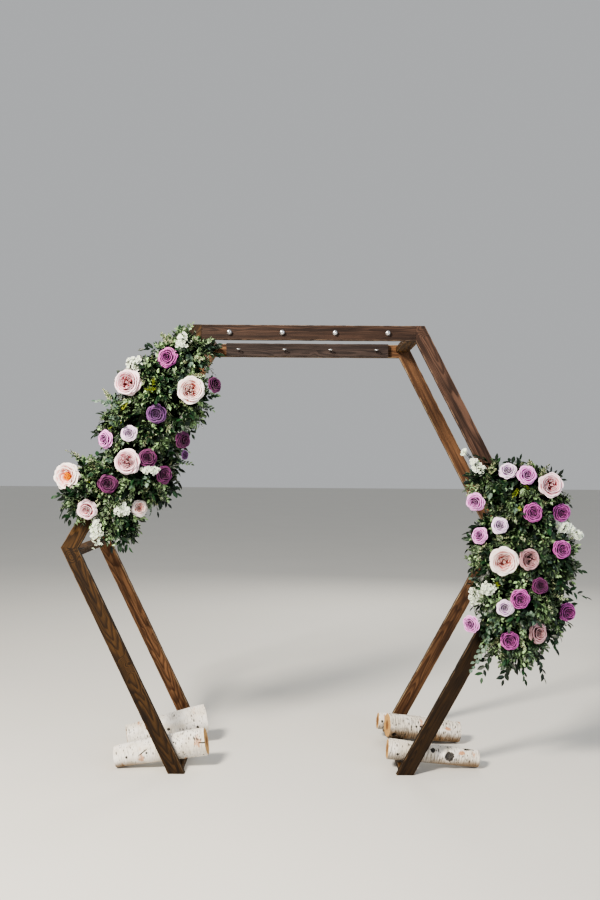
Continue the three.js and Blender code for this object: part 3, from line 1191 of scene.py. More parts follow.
@dataclass
class BirchLogs:
    """The birch logs lying over the foot ties."""

    nodes: Nodes
    sides: int = 84  # sides round each log
    stations: int = 90  # rings of vertices along each log
    insets: tuple[float, ...] = (0.03, 0.03, 0.22, 0.24, 0.24)  # rings of faces on its ends
    middle_x: float = -0.16  # the middle between the feet
    dice: random.Random = field(default_factory=lambda: random.Random(23))

    def ends(self, name: str) -> tuple[Vector, Vector, float, float]:
        """Measures a log node.

        Args:
            name: The log's node.

        Returns:
            The middles of its outer and inner ends, and the radii there.
        """
        places = places_of(self.nodes[name].data)
        centre = places.mean(axis=0)
        axis = np.linalg.eigh(np.cov((places - centre).T))[1][:, -1]
        reach = (places - centre) @ axis
        found = []
        for end in (reach.min(), reach.max()):
            rim = places[np.abs(reach - end) < 0.002]
            middle = (rim.min(axis=0) + rim.max(axis=0)) / 2
            found.append((Vector(middle), float(np.linalg.norm(rim - middle, axis=1).max())))
        found.sort(key=lambda end: -abs(end[0].x - self.middle_x))
        (outer, outer_radius), (inner, inner_radius) = found
        return outer, inner, outer_radius, inner_radius

    def log(self, name: str, skin: LogSkin) -> None:
        """Models one log with lumps, knots and rough sawn ends.

        Args:
            name: The log's node.
            skin: What its bark shows.
        """
        outer, inner, outer_radius, inner_radius = self.ends(name)
        axis = inner - outer
        clear_selection()
        bpy.ops.mesh.primitive_cylinder_add(vertices=self.sides, radius=1, depth=2, end_fill_type="NGON")
        piece = bpy.context.object
        piece.name = f"{name}_bark"
        with editing(piece):
            cut_across(Vector(), UP, [2 * station / self.stations - 1 for station in range(1, self.stations)])
        with editing(piece, lambda place: abs(place.z) > 0.99):
            bpy.ops.mesh.select_mode(type="FACE")
            for width in self.insets:
                bpy.ops.mesh.inset(thickness=width)
        side = axis.cross(UP).normalized()
        side = -side if side.y > 0 else side
        over = side.cross(axis).normalized()
        over = -over if over.z < 0 else over
        self.weather(piece.data, skin, axis.length, (outer_radius, inner_radius))
        lie = Matrix((side, over, axis.normalized())).transposed().to_4x4()
        piece.data.transform(Matrix.Translation((outer + inner) / 2) @ lie)
        if lie.determinant() < 0:
            piece.data.flip_normals()
        dress(piece, BARK, SAWN)
        smooth(piece, 50)
        report(piece, "birch", name)

    def weather(self, mesh: Mesh, skin: LogSkin, length: float, radii: tuple[float, float]) -> None:
        """Gives a plain unit cylinder its size, lumps, knots and sawn ends, and writes its marks.

        Args:
            mesh: The cylinder, X towards the viewer, Y up and Z along the log.
            skin: What its bark shows.
            length: The log's length.
            radii: The outer and inner end's radius.
        """
        places = places_of(mesh)
        for face in mesh.polygons:
            corners = places[list(face.vertices)]
            sawn = abs(corners[:, 2]).min() > 0.999 and np.hypot(*corners[:, :2].T).max() < 0.96
            face.material_index = int(sawn)
        shift = np.array([self.dice.uniform(0, 9) for _ in range(3)])
        knot_mark = np.zeros(len(places))
        tilt = [self.dice.uniform(-0.05, 0.05) for _ in range(4)]
        for number, (x, y, z) in enumerate(places):
            share = (z + 1) / 2
            radius = radii[0] + (radii[1] - radii[0]) * share
            turn = math.atan2(y, x)
            rim = math.hypot(x, y)
            around = Vector((math.cos(turn) * 1.4, math.sin(turn) * 1.4, share * 3.2)) + Vector(shift)
            lump = 0.035 * noise.noise(around) + 0.012 * noise.noise(around * 4.5) - 0.018
            swell = 0.0
            for knot in skin.knots:
                aside = math.remainder(turn - math.radians(knot.turn), math.tau) * radius
                away = math.hypot(aside, (share - knot.share) * length) / knot.radius
                lip = math.exp(-((away - 1.2) ** 2) * 3) - 1.1 * math.exp(-((away * 1.3) ** 2))
                swell += 0.35 * knot.radius * lip
                knot_mark[number] = max(knot_mark[number], 1.19 - away * 0.75)
            full = radius * (1 + lump) + (swell if rim > 0.97 else 0.0)
            end = 1 if z > 0.999 else -1 if z < -0.999 else 0
            rough = 0.0
            if end:
                row = 0 if end < 0 else 2
                rough = x * tilt[row] * radius + y * tilt[row + 1] * radius
                rough += 0.0022 * noise.noise(Vector((x * 6, y * 6, end * 5)) + Vector(shift))
                rough -= end * 0.0030 * max(0.0, (rim - 0.90) * 10)
            places[number] = (x * full, y * full, z * length / 2 + rough)
        mesh.vertices.foreach_set("co", places.ravel())
        write_mark(mesh, "log_place", places)
        write_mark(mesh, "log_shift", np.tile(shift, (len(places), 1)))
        write_mark(mesh, "log_knot", np.clip(knot_mark, 0, 1))
        write_mark(mesh, "log_age", np.full(len(places), skin.age))
        for key, patch in (("log_crack", skin.crack), ("log_branch", skin.branch), ("log_peel", skin.peel)):
            up, share, slant = patch
            write_mark(mesh, key, np.tile([up, (share - 0.5) * length, slant], (len(places), 1)))

    def build(self) -> None:
        """Models every log."""
        for name, skin in LOG_SKINS.items():
            self.log(name, skin)


# The flowers


@dataclass(frozen=True)
class Whorl:
    """One ring of petals. Lengths are in bloom radii."""

    petals: int
    reach: float  # radius at the petals' tips
    height: float  # height of the tips
    spread: float  # half the angle that a petal covers
    flare: float = 0.0  # how far the rim turns out
    dip: float = 0.0  # how far the rim turns down
    cup: float = 0.5  # how upright the petals stand: low for a cup, high for a dish
    ruffle: float = 0.0  # how wavy the rim is


class Form(Enum):
    """How a bloom is built, from its heart out."""

    ROSE = (
        Whorl(2, 0.08, 0.86, 2.10, cup=0.30),
        Whorl(3, 0.19, 0.92, 1.45, 0.01, 0.00, 0.30),
        Whorl(3, 0.33, 0.95, 1.35, 0.04, 0.02, 0.32),
        Whorl(4, 0.50, 0.93, 1.10, 0.06, 0.05, 0.36),
        Whorl(5, 0.67, 0.84, 0.95, 0.09, 0.08, 0.42, 0.01),
        Whorl(5, 0.80, 0.70, 0.95, 0.11, 0.11, 0.54, 0.015),
        Whorl(6, 0.86, 0.52, 0.90, 0.12, 0.12, 0.75, 0.02),
    )
    GARDEN = (
        Whorl(5, 0.44, 0.50, 1.00, 0.00, 0.00, 0.60, 0.01),
        Whorl(5, 0.56, 0.86, 1.05, 0.00, 0.00, 0.26, 0.01),
        Whorl(5, 0.68, 0.92, 1.00, 0.02, 0.01, 0.30, 0.015),
        Whorl(5, 0.80, 0.88, 1.00, 0.06, 0.04, 0.36, 0.03),
        Whorl(6, 0.88, 0.76, 0.90, 0.08, 0.08, 0.46, 0.04),
        Whorl(6, 0.90, 0.56, 0.86, 0.11, 0.10, 0.70, 0.04),
    )
    PEONY = (
        Whorl(5, 0.44, 0.50, 1.00, 0.04, 0.00, 0.60, 0.05),
        Whorl(6, 0.62, 0.74, 0.86, 0.05, 0.00, 0.42, 0.06),
        Whorl(7, 0.78, 0.80, 0.78, 0.08, 0.03, 0.42, 0.07),
        Whorl(7, 0.88, 0.66, 0.78, 0.10, 0.06, 0.58, 0.06),
        Whorl(6, 0.90, 0.48, 0.86, 0.10, 0.06, 0.80, 0.05),
    )


def axes_along(direction: Vector, above: Vector) -> np.ndarray:
    """Gives axes with Y along a direction and Z as near as can be to another.

    Args:
        direction: Where Y points.
        above: Where Z should point.

    Returns:
        X, Y and Z as columns.
    """
    along = Vector(direction).normalized()
    across = along.cross(Vector(above))
    if across.length < 1e-4:
        across = along.cross(Vector((1, 0, 0.3)))
    across.normalize()
    return np.array([across, along, across.cross(along)]).T


def axes_facing(direction: Vector) -> np.ndarray:
    """Gives axes with Z along a direction, as columns X, Y and Z."""
    across, along, up = axes_along(direction, UP).T
    return np.stack([across, -up, along], axis=1)


def petal_marks(across: np.ndarray, along: np.ndarray, tone: float, depth: float) -> dict[str, np.ndarray]:
    """Gives the marks that a petal finish reads: places on the petal, its tone and its depth."""
    full = np.full(len(across), 1.0)
    return {"petal": np.stack([across, along, full * tone], axis=1), "whorl": full * depth}


def leaf_marks(mould: Shape, tone: float) -> dict[str, np.ndarray]:
    """Gives the mark that a leaf finish reads: places on the leaf and its tone, 0 to 1, from dark painted
    shade to a bright painted glint.
    """
    across, along, _ = mould.points.T
    return {"leaf": np.stack([across * 2, along, np.full(len(across), tone)], axis=1)}


def petal_shape(across: int, along: int) -> Shape:
    """Models the flat petal that every bloom's petals are wrapped from.

    Args:
        across: Faces across it.
        along: Faces along it.

    Returns:
        A thin closed sheet: X from -1 to 1 across, Y from 0 to 1 along, and Z 0.5 on its outside.
    """
    clear_selection()
    bpy.ops.mesh.primitive_grid_add(x_subdivisions=across, y_subdivisions=along, size=2)
    piece = bpy.context.object
    with editing(piece):
        bpy.ops.transform.resize(value=(1, 0.5, 1), center_override=ORIGIN)
        bpy.ops.transform.translate(value=(0, 0.5, 0))
    shell = piece.modifiers.new("thickness", "SOLIDIFY")
    shell.thickness = 1.0
    shell.offset = 0.0
    apply_modifiers(piece)
    return Shape.taken_from(piece)


def leaf_shape(rings: int) -> Shape:
    """Models a leaf with a folded blade and a point, as a thin closed form.

    Args:
        rings: How many bands of faces it has from its foot to its point.

    Returns:
        The leaf, 1 long along Y, 1 wide and facing up.
    """
    clear_selection()
    bpy.ops.mesh.primitive_uv_sphere_add(segments=4, ring_count=rings, radius=0.5)
    piece = bpy.context.object
    fix_in_place(piece)
    with editing(piece):
        bpy.ops.transform.rotate(value=math.radians(90), orient_axis="X", center_override=ORIGIN)
        bpy.ops.transform.resize(value=(1, 1, 0.05), center_override=ORIGIN)
        bpy.ops.transform.translate(value=(0, 0.5, 0))
    with editing(piece, lambda place: 0.6 < place.y < 0.95):
        bpy.ops.transform.resize(value=(0.85, 1, 1), center_override=ORIGIN)
        bpy.ops.transform.translate(value=(0, -0.10, 0))
    with editing(piece, lambda place: abs(place.x) > 0.1):
        bpy.ops.transform.translate(value=(0, 0, 0.12))
    with editing(piece, lambda place: place.y > 0.95):
        bpy.ops.transform.translate(value=(0, 0, -0.10))
    with editing(piece):
        bpy.ops.mesh.normals_make_consistent(inside=False)
    return Shape.taken_from(piece)


@dataclass
class Florist:
    """Makes blooms, leaves and florets from a few moulds. Lengths are in bloom radii."""

    dice: random.Random  # source of their irregularity
    thickness: float = 0.012  # a petal's thickness
    heart_ring: float = 0.17  # how far off the middle a garden rose's groups of petals stand
    heart_folds: tuple[float, ...] = (0.05, 0.11, 0.17, 0.23, 0.29)  # reach of a group's petals
    threads: int = 110  # gold threads in an open bloom
    petal: Shape = field(default_factory=lambda: petal_shape(8, 5))
    leaf: Shape = field(default_factory=lambda: leaf_shape(4))
    small_leaf: Shape = field(default_factory=lambda: leaf_shape(3))

    def wrapped_petal(
        self, whorl: Whorl, turn: float, depth: float, centre: tuple[float, float] = (0, 0)
    ) -> Shape:
        """Bends the flat petal into one petal of a whorl.

        Args:
            whorl: The whorl that it belongs to.
            turn: Which way it faces, in radians.
            depth: 0 at the bloom's heart to 1 at its outside.
            centre: The middle of the ring that it stands in.

        Returns:
            The petal, its bloom facing up from the origin.
        """
        across, along, skin = self.petal.points.T
        along = 1 - (1 - along) ** 1.4
        share = along * (1 - 0.22 * np.abs(across) ** 2.6)
        reach = whorl.reach * self.dice.uniform(0.92, 1.06)
        tall = whorl.height * self.dice.uniform(0.94, 1.05)
        foot = min(0.05, reach * 0.5)
        wave = self.dice.uniform(0, math.tau)
        tip = 1 + 0.25 * np.exp(-((across / 0.3) ** 2))

        def profile(reached: np.ndarray) -> tuple[np.ndarray, np.ndarray]:
            """The petal's radius and height part of the way up."""
            reached = np.clip(reached, 0, 1.05)
            radius = foot + (reach - foot) * reached**whorl.cup + whorl.flare * tip * reached**6
            return radius, tall * (1 - (1 - np.minimum(reached, 1)) ** 1.7) - whorl.dip * reached**6

        radius, height = profile(share)
        next_radius, next_height = profile(share + 0.01)
        rise, run = next_height - height, next_radius - radius
        size = np.maximum(np.hypot(rise, run), 1e-9)
        width = 0.42 + 0.58 * np.sin(np.minimum(along, 0.72) / 0.72 * math.pi / 2)
        angle = turn + across * whorl.spread * width
        bow = 1 - 0.05 * across**2 * share
        radius = radius * bow + 0.028 * across * min(1.0, reach * 2) + skin * self.thickness * rise / size
        height = height - skin * self.thickness * run / size - 0.05 * whorl.reach * across**2 * share**2
        height = height + whorl.ruffle * np.sin(across * 4.5 + wave) * share**2
        radius = radius + whorl.ruffle * 0.8 * np.cos(across * 5.5 + wave) * share**2
        x, y = radius * np.cos(angle) + centre[0], radius * np.sin(angle) + centre[1]
        marks = petal_marks(across, along, self.dice.random(), depth)
        points = np.stack([x, y, height], axis=1)
        return Shape(points, self.petal.corners, self.petal.sizes, self.petal.coats, marks)

    def bloom(self, form: Form) -> Shape:
        """Builds a bloom of radius 1 that faces up from the origin.

        Args:
            form: How it is built.

        Returns:
            The bloom.
        """
        shapes = []
        turn = self.dice.uniform(0, math.tau)
        if form is Form.GARDEN:
            shapes += self.quartered_heart()
        if form is Form.PEONY:
            shapes += self.anthers()
        last = len(form.value) - 1
        for number, whorl in enumerate(form.value):
            depth = number / last if form is Form.ROSE else 0.35 + 0.65 * number / last
            turn += GOLDEN_TURN
            for petal in range(whorl.petals):
                facing = turn + math.tau * petal / whorl.petals + self.dice.uniform(-0.10, 0.10)
                shapes.append(self.wrapped_petal(whorl, facing, depth))
        return Shape.joined(shapes)

    def quartered_heart(self) -> list[Shape]:
        """Fills a garden rose's middle with small petals folded in groups.

        Returns:
            The petals.
        """
        shapes = []
        for reach in (0.04, 0.09):
            for turn in (0.0, 2.1, 4.2):
                shapes.append(self.wrapped_petal(Whorl(1, reach, 0.74, 1.5, cup=0.3), turn, 0.0))
        groups = self.dice.choice((3, 4))
        for group in range(groups):
            facing = math.tau * group / groups + self.dice.uniform(-0.25, 0.25)
            x, y = self.heart_ring * math.cos(facing), self.heart_ring * math.sin(facing)
            for fold, reach in enumerate(self.heart_folds):
                spread = 1.60 - 0.12 * fold + self.dice.uniform(-0.25, 0.15)
                whorl = Whorl(1, reach, 0.76 + 0.022 * fold, spread, 0.01, 0.0, 0.28, 0.03)
                turn = facing + self.dice.uniform(-0.55, 0.55)
                middle = (x + self.dice.uniform(-0.03, 0.03), y + self.dice.uniform(-0.03, 0.03))
                shapes.append(self.wrapped_petal(whorl, turn, 0.07 * fold, middle))
        return shapes

    def anthers(self) -> list[Shape]:
        """Fills an open bloom's middle with upright gold threads.

        Returns:
            The threads and their heads.
        """
        shapes = []
        across, along, _ = self.small_leaf.points.T
        for _ in range(self.threads):
            away, facing = 0.30 * math.sqrt(self.dice.random()), self.dice.uniform(0, math.tau)
            x, y = away * math.cos(facing), away * math.sin(facing)
            foot, tip = np.array([x * 0.5, y * 0.5, 0.1]), np.array([x, y, self.dice.uniform(0.44, 0.56)])
            axes = axes_along(tip - foot, UP) * np.array([0.035, np.linalg.norm(tip - foot), 0.05])
            marks = petal_marks(across * 0, 0.6 + 0.4 * along, self.dice.random(), self.dice.random())
            shapes.append(self.small_leaf.placed(axes, foot, **marks).coated(1))
            aside = Vector((math.cos(facing * 3), math.sin(facing * 3), self.dice.uniform(-0.3, 0.3)))
            head = axes_along(aside, UP) * np.array([0.055, 0.085, 0.30])
            shapes.append(self.small_leaf.placed(head, tip - np.array(aside) * 0.04, **marks).coated(1))
        return shapes

    def floret(self) -> Shape:
        """Builds a five-petalled floret of radius 1 that faces up from the origin.

        Returns:
            The floret.
        """
        shapes = []
        across, along, _ = self.small_leaf.points.T
        start = self.dice.uniform(0, math.tau)
        for petal in range(5):
            facing = start + math.tau * petal / 5
            out = Vector((math.cos(facing), math.sin(facing), self.dice.uniform(0.25, 0.8)))
            axes = axes_along(out, UP) * np.array([1.20, 1.0, 0.5])
            marks = petal_marks(across, along, self.dice.random(), 0.9)
            shapes.append(self.small_leaf.placed(axes, ORIGIN, **marks))
        return Shape.joined(shapes)


@dataclass(frozen=True)
class Habit:
    """How a kind of foliage grows."""

    name: str
    finish: Leaves
    length: float  # length of a sprig
    leaf_length: float
    leaf_width: float
    leaves: int  # leaves on a sprig
    angle: float  # how far the leaves stand off the stem, in radians
    fine: bool  # whether its leaves have the fuller shape
    droop: float  # how much a sprig hangs


@dataclass(frozen=True)
class Flower:
    """A bloom in an arrangement. Its names are without the arrangement's side."""

    name: str
    variety: Variety
    form: Form
    x: float  # its place to the right of the middle between the feet
    z: float  # its height
    width: float
    node: str = ""  # the node that it stands for, if it has one
    aside: float = 0.0  # how much it turns to the side, for one that is seen from its edge
    front: float = 0.7  # how much one with a node turns to the viewer


@dataclass(frozen=True)
class Cluster:
    """A bunch of small white florets."""

    x: float  # its place to the right of the middle between the feet
    z: float  # its height
    width: float
    tall: float  # from its lowest to its highest floret


@dataclass(frozen=True)
class Trailer:
    """A long spray that reaches out of an arrangement."""

    habit: Habit
    x: float  # where it leaves the greenery, to the right of the middle between the feet
    z: float  # the height there
    towards: float  # which way it points, in degrees up from the right
    length: float
    behind: float = 0.0  # how much further back than usual it starts
    out: float = 0.25  # how much it leans towards the viewer


MAGENTA, VIOLET, LAVENDER, LILAC, PLUM, BLUSH, PEACH, CREAM = Variety
ROSE, GARDEN, PEONY = Form
BOX = Habit("box", BOX_GREEN, 0.110, 0.033, 0.021, 13, 0.95, False, 0.12)
RUSCUS = Habit("ruscus", RUSCUS_GREEN, 0.140, 0.064, 0.030, 8, 0.80, True, 0.20)
SILVER = Habit("silver", GREY_GREEN, 0.120, 0.036, 0.032, 9, 0.9, True, 0.2)
EDGED = Habit("edged", EDGED_GREEN, 0.105, 0.027, 0.019, 13, 1.0, False, 0.1)
LIME = Habit("lime", LIME_GREEN, 0.120, 0.028, 0.012, 15, 0.7, False, 0.2)


@dataclass(frozen=True)
class Design:
    """What goes into one arrangement. Each row has the fields of its kind in order."""

    seed: int  # where the random draws start
    flowers: tuple[tuple, ...]  # rows of Flower
    clusters: tuple[tuple, ...]  # rows of Cluster
    trailers: tuple[tuple, ...]  # rows of Trailer


LEFT = Design(
    41,
    (
        ("magenta_rose_high", MAGENTA, ROSE, -0.720, 2.430, 0.121),
        ("blush_garden_rose", BLUSH, GARDEN, -0.957, 2.290, 0.155, "garden_rose_1"),
        ("cream_garden_rose", CREAM, GARDEN, -0.583, 2.246, 0.158, "garden_rose_2"),
        ("plum_rose_side", PLUM, ROSE, -0.458, 2.276, 0.100, "", 0.5),
        ("violet_rose", VIOLET, ROSE, -0.786, 2.107, 0.126, "purple_rose"),
        ("lavender_rose", LAVENDER, ROSE, -0.937, 1.994, 0.098),
        ("lilac_rose", LILAC, ROSE, -1.068, 1.959, 0.109, "", -0.4),
        ("pale_garden_rose", BLUSH, GARDEN, -0.951, 1.833, 0.143, "garden_rose_3"),
        ("plum_rose", PLUM, ROSE, -0.830, 1.851, 0.112),
        ("plum_rose_low", PLUM, ROSE, -0.743, 1.759, 0.108, "", 0.4),
        ("violet_rose_side", PLUM, ROSE, -0.636, 1.959, 0.104, "", 0.5),
        ("violet_bud", VIOLET, ROSE, -0.623, 1.873, 0.058, "", 0.9),
        ("open_peony", CREAM, PEONY, -1.303, 1.748, 0.155, "peony"),
        ("magenta_rose_low", PLUM, ROSE, -1.058, 1.704, 0.115),
        ("pale_rose", BLUSH, ROSE, -1.180, 1.551, 0.126, "pink_rose"),
        ("cream_rose_low", CREAM, ROSE, -0.882, 1.567, 0.109),
    ),
    (
        (-0.903, 2.388, 0.095, 0.080), (-0.636, 2.520, 0.062, 0.085), (-0.974, 1.556, 0.080, 0.065),
        (-0.819, 1.783, 0.095, 0.040), (-1.112, 1.440, 0.060, 0.160),
    ),
    (
        (BOX, -0.640, 2.540, 75, 0.14), (BOX, -0.540, 2.500, 35, 0.12),
        (BOX, -0.540, 2.300, 20, 0.13, 0.05), (BOX, -0.540, 2.260, 340, 0.13, 0.05),
        (BOX, -0.540, 2.210, 330, 0.12, 0.04), (BOX, -0.530, 2.350, 40, 0.12, 0.04),
        (BOX, -0.690, 1.980, 10, 0.12, 0.04), (BOX, -0.680, 1.920, 340, 0.12, 0.04),
        (BOX, -0.680, 1.860, 350, 0.12, 0.04), (BOX, -0.580, 2.540, 15, 0.11),
        (BOX, -0.570, 2.480, 350, 0.11), (EDGED, -0.600, 2.470, 60, 0.10), (EDGED, -0.630, 2.410, 20, 0.10),
        (BOX, -1.200, 1.850, 150, 0.10), (BOX, -1.240, 1.600, 200, 0.12),
        (RUSCUS, -0.900, 1.520, 285, 0.12), (SILVER, -1.060, 2.180, 150, 0.12),
        (EDGED, -1.227, 1.893, 150, 0.10), (EDGED, -1.204, 1.817, 200, 0.09),
        (EDGED, -1.163, 1.788, 100, 0.09), (EDGED, -1.075, 2.197, 110, 0.09),
        (EDGED, -0.987, 2.168, 60, 0.09), (EDGED, -0.929, 1.689, 300, 0.09),
        (EDGED, -0.724, 2.519, 130, 0.09), (LIME, -0.824, 2.256, 60, 0.08, 0.0, 0.9),
        (LIME, -0.785, 2.225, 130, 0.08, 0.0, 0.9), (LIME, -0.850, 2.235, 20, 0.07, 0.0, 0.9),
        (LIME, -0.760, 2.205, 300, 0.07, 0.0, 0.9),
    ),
)
RIGHT = Design(
    57,
    (
        ("lavender_rose_high", LAVENDER, ROSE, 1.236, 1.788, 0.109),
        ("lilac_rose_high", LILAC, ROSE, 1.350, 1.775, 0.121, "purple_rose_1"),
        ("blush_garden_rose", BLUSH, GARDEN, 1.486, 1.715, 0.138, "garden_rose_1"),
        ("lilac_rose_inner", LILAC, ROSE, 1.052, 1.616, 0.112, "", -0.3),
        ("magenta_rose", MAGENTA, ROSE, 1.378, 1.556, 0.115),
        ("magenta_rose_high", MAGENTA, ROSE, 1.540, 1.555, 0.112, "", -0.2),
        ("lavender_rose", LAVENDER, ROSE, 1.190, 1.478, 0.103),
        ("lilac_rose_low", LILAC, ROSE, 1.080, 1.420, 0.103, "", -0.3),
        ("magenta_rose_side", MAGENTA, ROSE, 1.552, 1.346, 0.118, "purple_rose_2"),
        ("cream_garden_rose", CREAM, GARDEN, 1.215, 1.272, 0.158, "garden_rose_2"),
        ("peach_rose", PEACH, GARDEN, 1.353, 1.292, 0.122, "", 0.3),
        ("plum_rose", PLUM, ROSE, 1.419, 1.136, 0.100),
        ("magenta_rose_middle", MAGENTA, ROSE, 1.312, 1.057, 0.121, "purple_rose_3"),
        ("lavender_rose_low", LAVENDER, ROSE, 1.220, 1.012, 0.103),
        ("magenta_rose_edge", MAGENTA, ROSE, 1.588, 0.983, 0.116, "purple_rose_4", 0.0, 2.2),
        ("lilac_rose_edge", LILAC, ROSE, 1.033, 0.917, 0.109, "", -0.4),
        ("peach_rose_low", PEACH, ROSE, 1.405, 0.868, 0.120, "", 0.25),
        ("magenta_rose_low", MAGENTA, ROSE, 1.248, 0.818, 0.116, "purple_rose_5"),
    ),
    (
        (1.068, 1.800, 0.070, 0.060), (1.040, 1.838, 0.040, 0.035), (0.985, 1.895, 0.020, 0.030),
        (1.545, 1.468, 0.080, 0.055), (1.590, 1.455, 0.040, 0.035), (1.622, 1.425, 0.065, 0.045),
        (1.062, 1.080, 0.090, 0.110), (1.125, 1.118, 0.080, 0.065),
    ),
    (
        (RUSCUS, 1.420, 0.760, 290, 0.15), (RUSCUS, 1.340, 0.720, 265, 0.12),
        (RUSCUS, 1.250, 0.700, 250, 0.12), (RUSCUS, 1.520, 1.150, 350, 0.20),
        (RUSCUS, 1.540, 1.250, 5, 0.14), (RUSCUS, 1.470, 0.880, 310, 0.12),
        (RUSCUS, 1.140, 0.740, 225, 0.15), (SILVER, 1.090, 0.800, 235, 0.15),
        (SILVER, 1.100, 0.930, 250, 0.13), (SILVER, 1.150, 0.900, 290, 0.12),
        (SILVER, 1.060, 0.780, 60, 0.11), (SILVER, 1.160, 0.960, 270, 0.10, 0.0, 0.9),
        (SILVER, 1.310, 0.960, 300, 0.10, 0.0, 0.9), (SILVER, 1.330, 0.930, 60, 0.09, 0.0, 0.9),
        (BOX, 1.090, 1.760, 120, 0.12), (EDGED, 1.206, 1.583, 60, 0.09), (EDGED, 1.264, 1.542, 340, 0.10),
        (EDGED, 1.323, 1.500, 20, 0.10), (EDGED, 1.293, 1.484, 250, 0.09), (EDGED, 1.381, 1.470, 300, 0.09),
        (EDGED, 1.252, 1.437, 200, 0.09), (EDGED, 1.240, 1.500, 150, 0.09),
        (EDGED, 1.420, 1.190, 340, 0.10), (EDGED, 1.480, 1.170, 10, 0.10), (EDGED, 1.160, 1.170, 60, 0.10),
        (LIME, 1.264, 1.543, 60, 0.07, 0.0, 0.9), (LIME, 1.165, 1.127, 100, 0.07, 0.0, 0.9),
    ),
)


# The studio


@dataclass(frozen=True)
class Lamp:
    """A soft square lamp."""

    name: str
    place: Triple
    size: float  # its side
    power: float  # in watts
    colour: Paint


@dataclass
class Studio:
    """The camera, the lights and the floor."""

    distance: float = 5.171  # camera to the front face of the front frame
    aside: float = 0.036  # camera to the right of the middle between the feet
    height: float = 1.829  # camera height
    yaw: float = 0.068  # degrees that it turns right
    pitch: float = 0.877  # degrees that it looks up
    roll: float = 0.383  # degrees that it leans
    lens: float = 35.0  # focal length in millimetres
    sensor: float = 36.0  # width of its frame in millimetres
    floor_size: float = 120.0
    floor_gap: float = 0.0015  # how far the floor lies under the feet
    target: Triple = (0, 0, 1.2)  # where the lamps point
    lamps: tuple[Lamp, ...] = (
        Lamp("key_lamp", (-3.6, -5.2, 5.6), 1.4, 1050, 0xFFF6E8),
        Lamp("fill_lamp", (5.5, -5.0, 3.2), 4.0, 150, 0xE8F0FF),
        Lamp("back_lamp", (1.5, 6.5, 4.5), 3.0, 170, 0xFFFAF0),
    )
    sky: Paint = 0xECEEF0
    sky_strength: float = 0.50
    contrast: str = "AgX - Medium High Contrast"
    eye: Vector = field(init=False)
    middle_x: float = field(init=False)
    face_y: float = field(init=False)

    def __post_init__(self) -> None:
        """Works out the camera's place from the frame's feet and front face."""
        left_low, left_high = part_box("left_foot_tie")
        right_low, right_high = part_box("right_foot_tie")
        self.middle_x = (left_low.x + left_high.x + right_low.x + right_high.x) / 4
        self.face_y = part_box("front_top_beam")[0].y
        self.eye = Vector((self.middle_x + self.aside, self.face_y - self.distance, self.height))

    def camera(self) -> None:
        """Puts the camera where the photograph was taken from."""
        yaw, pitch, roll = (math.radians(angle) for angle in (self.yaw, self.pitch, self.roll))
        level = Vector((math.cos(yaw), -math.sin(yaw), 0))
        ahead = UP.cross(level) * math.cos(pitch) + UP * math.sin(pitch)
        upward = level.cross(ahead)
        right = level * math.cos(roll) + upward * math.sin(roll)
        top = upward * math.cos(roll) - level * math.sin(roll)
        lens = bpy.data.cameras.new("camera")
        lens.lens = self.lens
        lens.sensor_width = self.sensor
        camera = linked("camera", lens)
        turned_to = Matrix((right, top, -ahead)).transposed().to_4x4()
        camera.matrix_world = Matrix.Translation(self.eye) @ turned_to
        bpy.context.scene.camera = camera

    def hang(self, lamp: Lamp) -> None:
        """Hangs a lamp.

        Args:
            lamp: The lamp.
        """
        light = bpy.data.lights.new(lamp.name, "AREA")
        light.size = lamp.size
        light.energy = lamp.power
        light.color = linear(lamp.colour)[:3]
        hung = linked(lamp.name, light)
        hung.location = lamp.place
        aim = Vector(self.target) - Vector(lamp.place)
        hung.rotation_euler = aim.to_track_quat("-Z", "Y").to_euler()

    def build(self) -> None:
        """Sets up the camera, the lamps, an even sky, the contrast and the floor."""
        self.camera()
        for lamp in self.lamps:
            self.hang(lamp)
        world = bpy.data.worlds.new("studio_sky")
        world.use_nodes = True
        world.node_tree.nodes["Background"].inputs["Color"].default_value = linear(self.sky)
        world.node_tree.nodes["Background"].inputs["Strength"].default_value = self.sky_strength
        bpy.context.scene.world = world
        bpy.context.scene.view_settings.look = self.contrast
        clear_selection()
        bpy.ops.mesh.primitive_plane_add(size=self.floor_size, location=(0, 0, -self.floor_gap))
        floor = bpy.context.object
        floor.name = "studio_floor"
        fix_in_place(floor)
        dress(floor, PLASTER)


# The arrangements


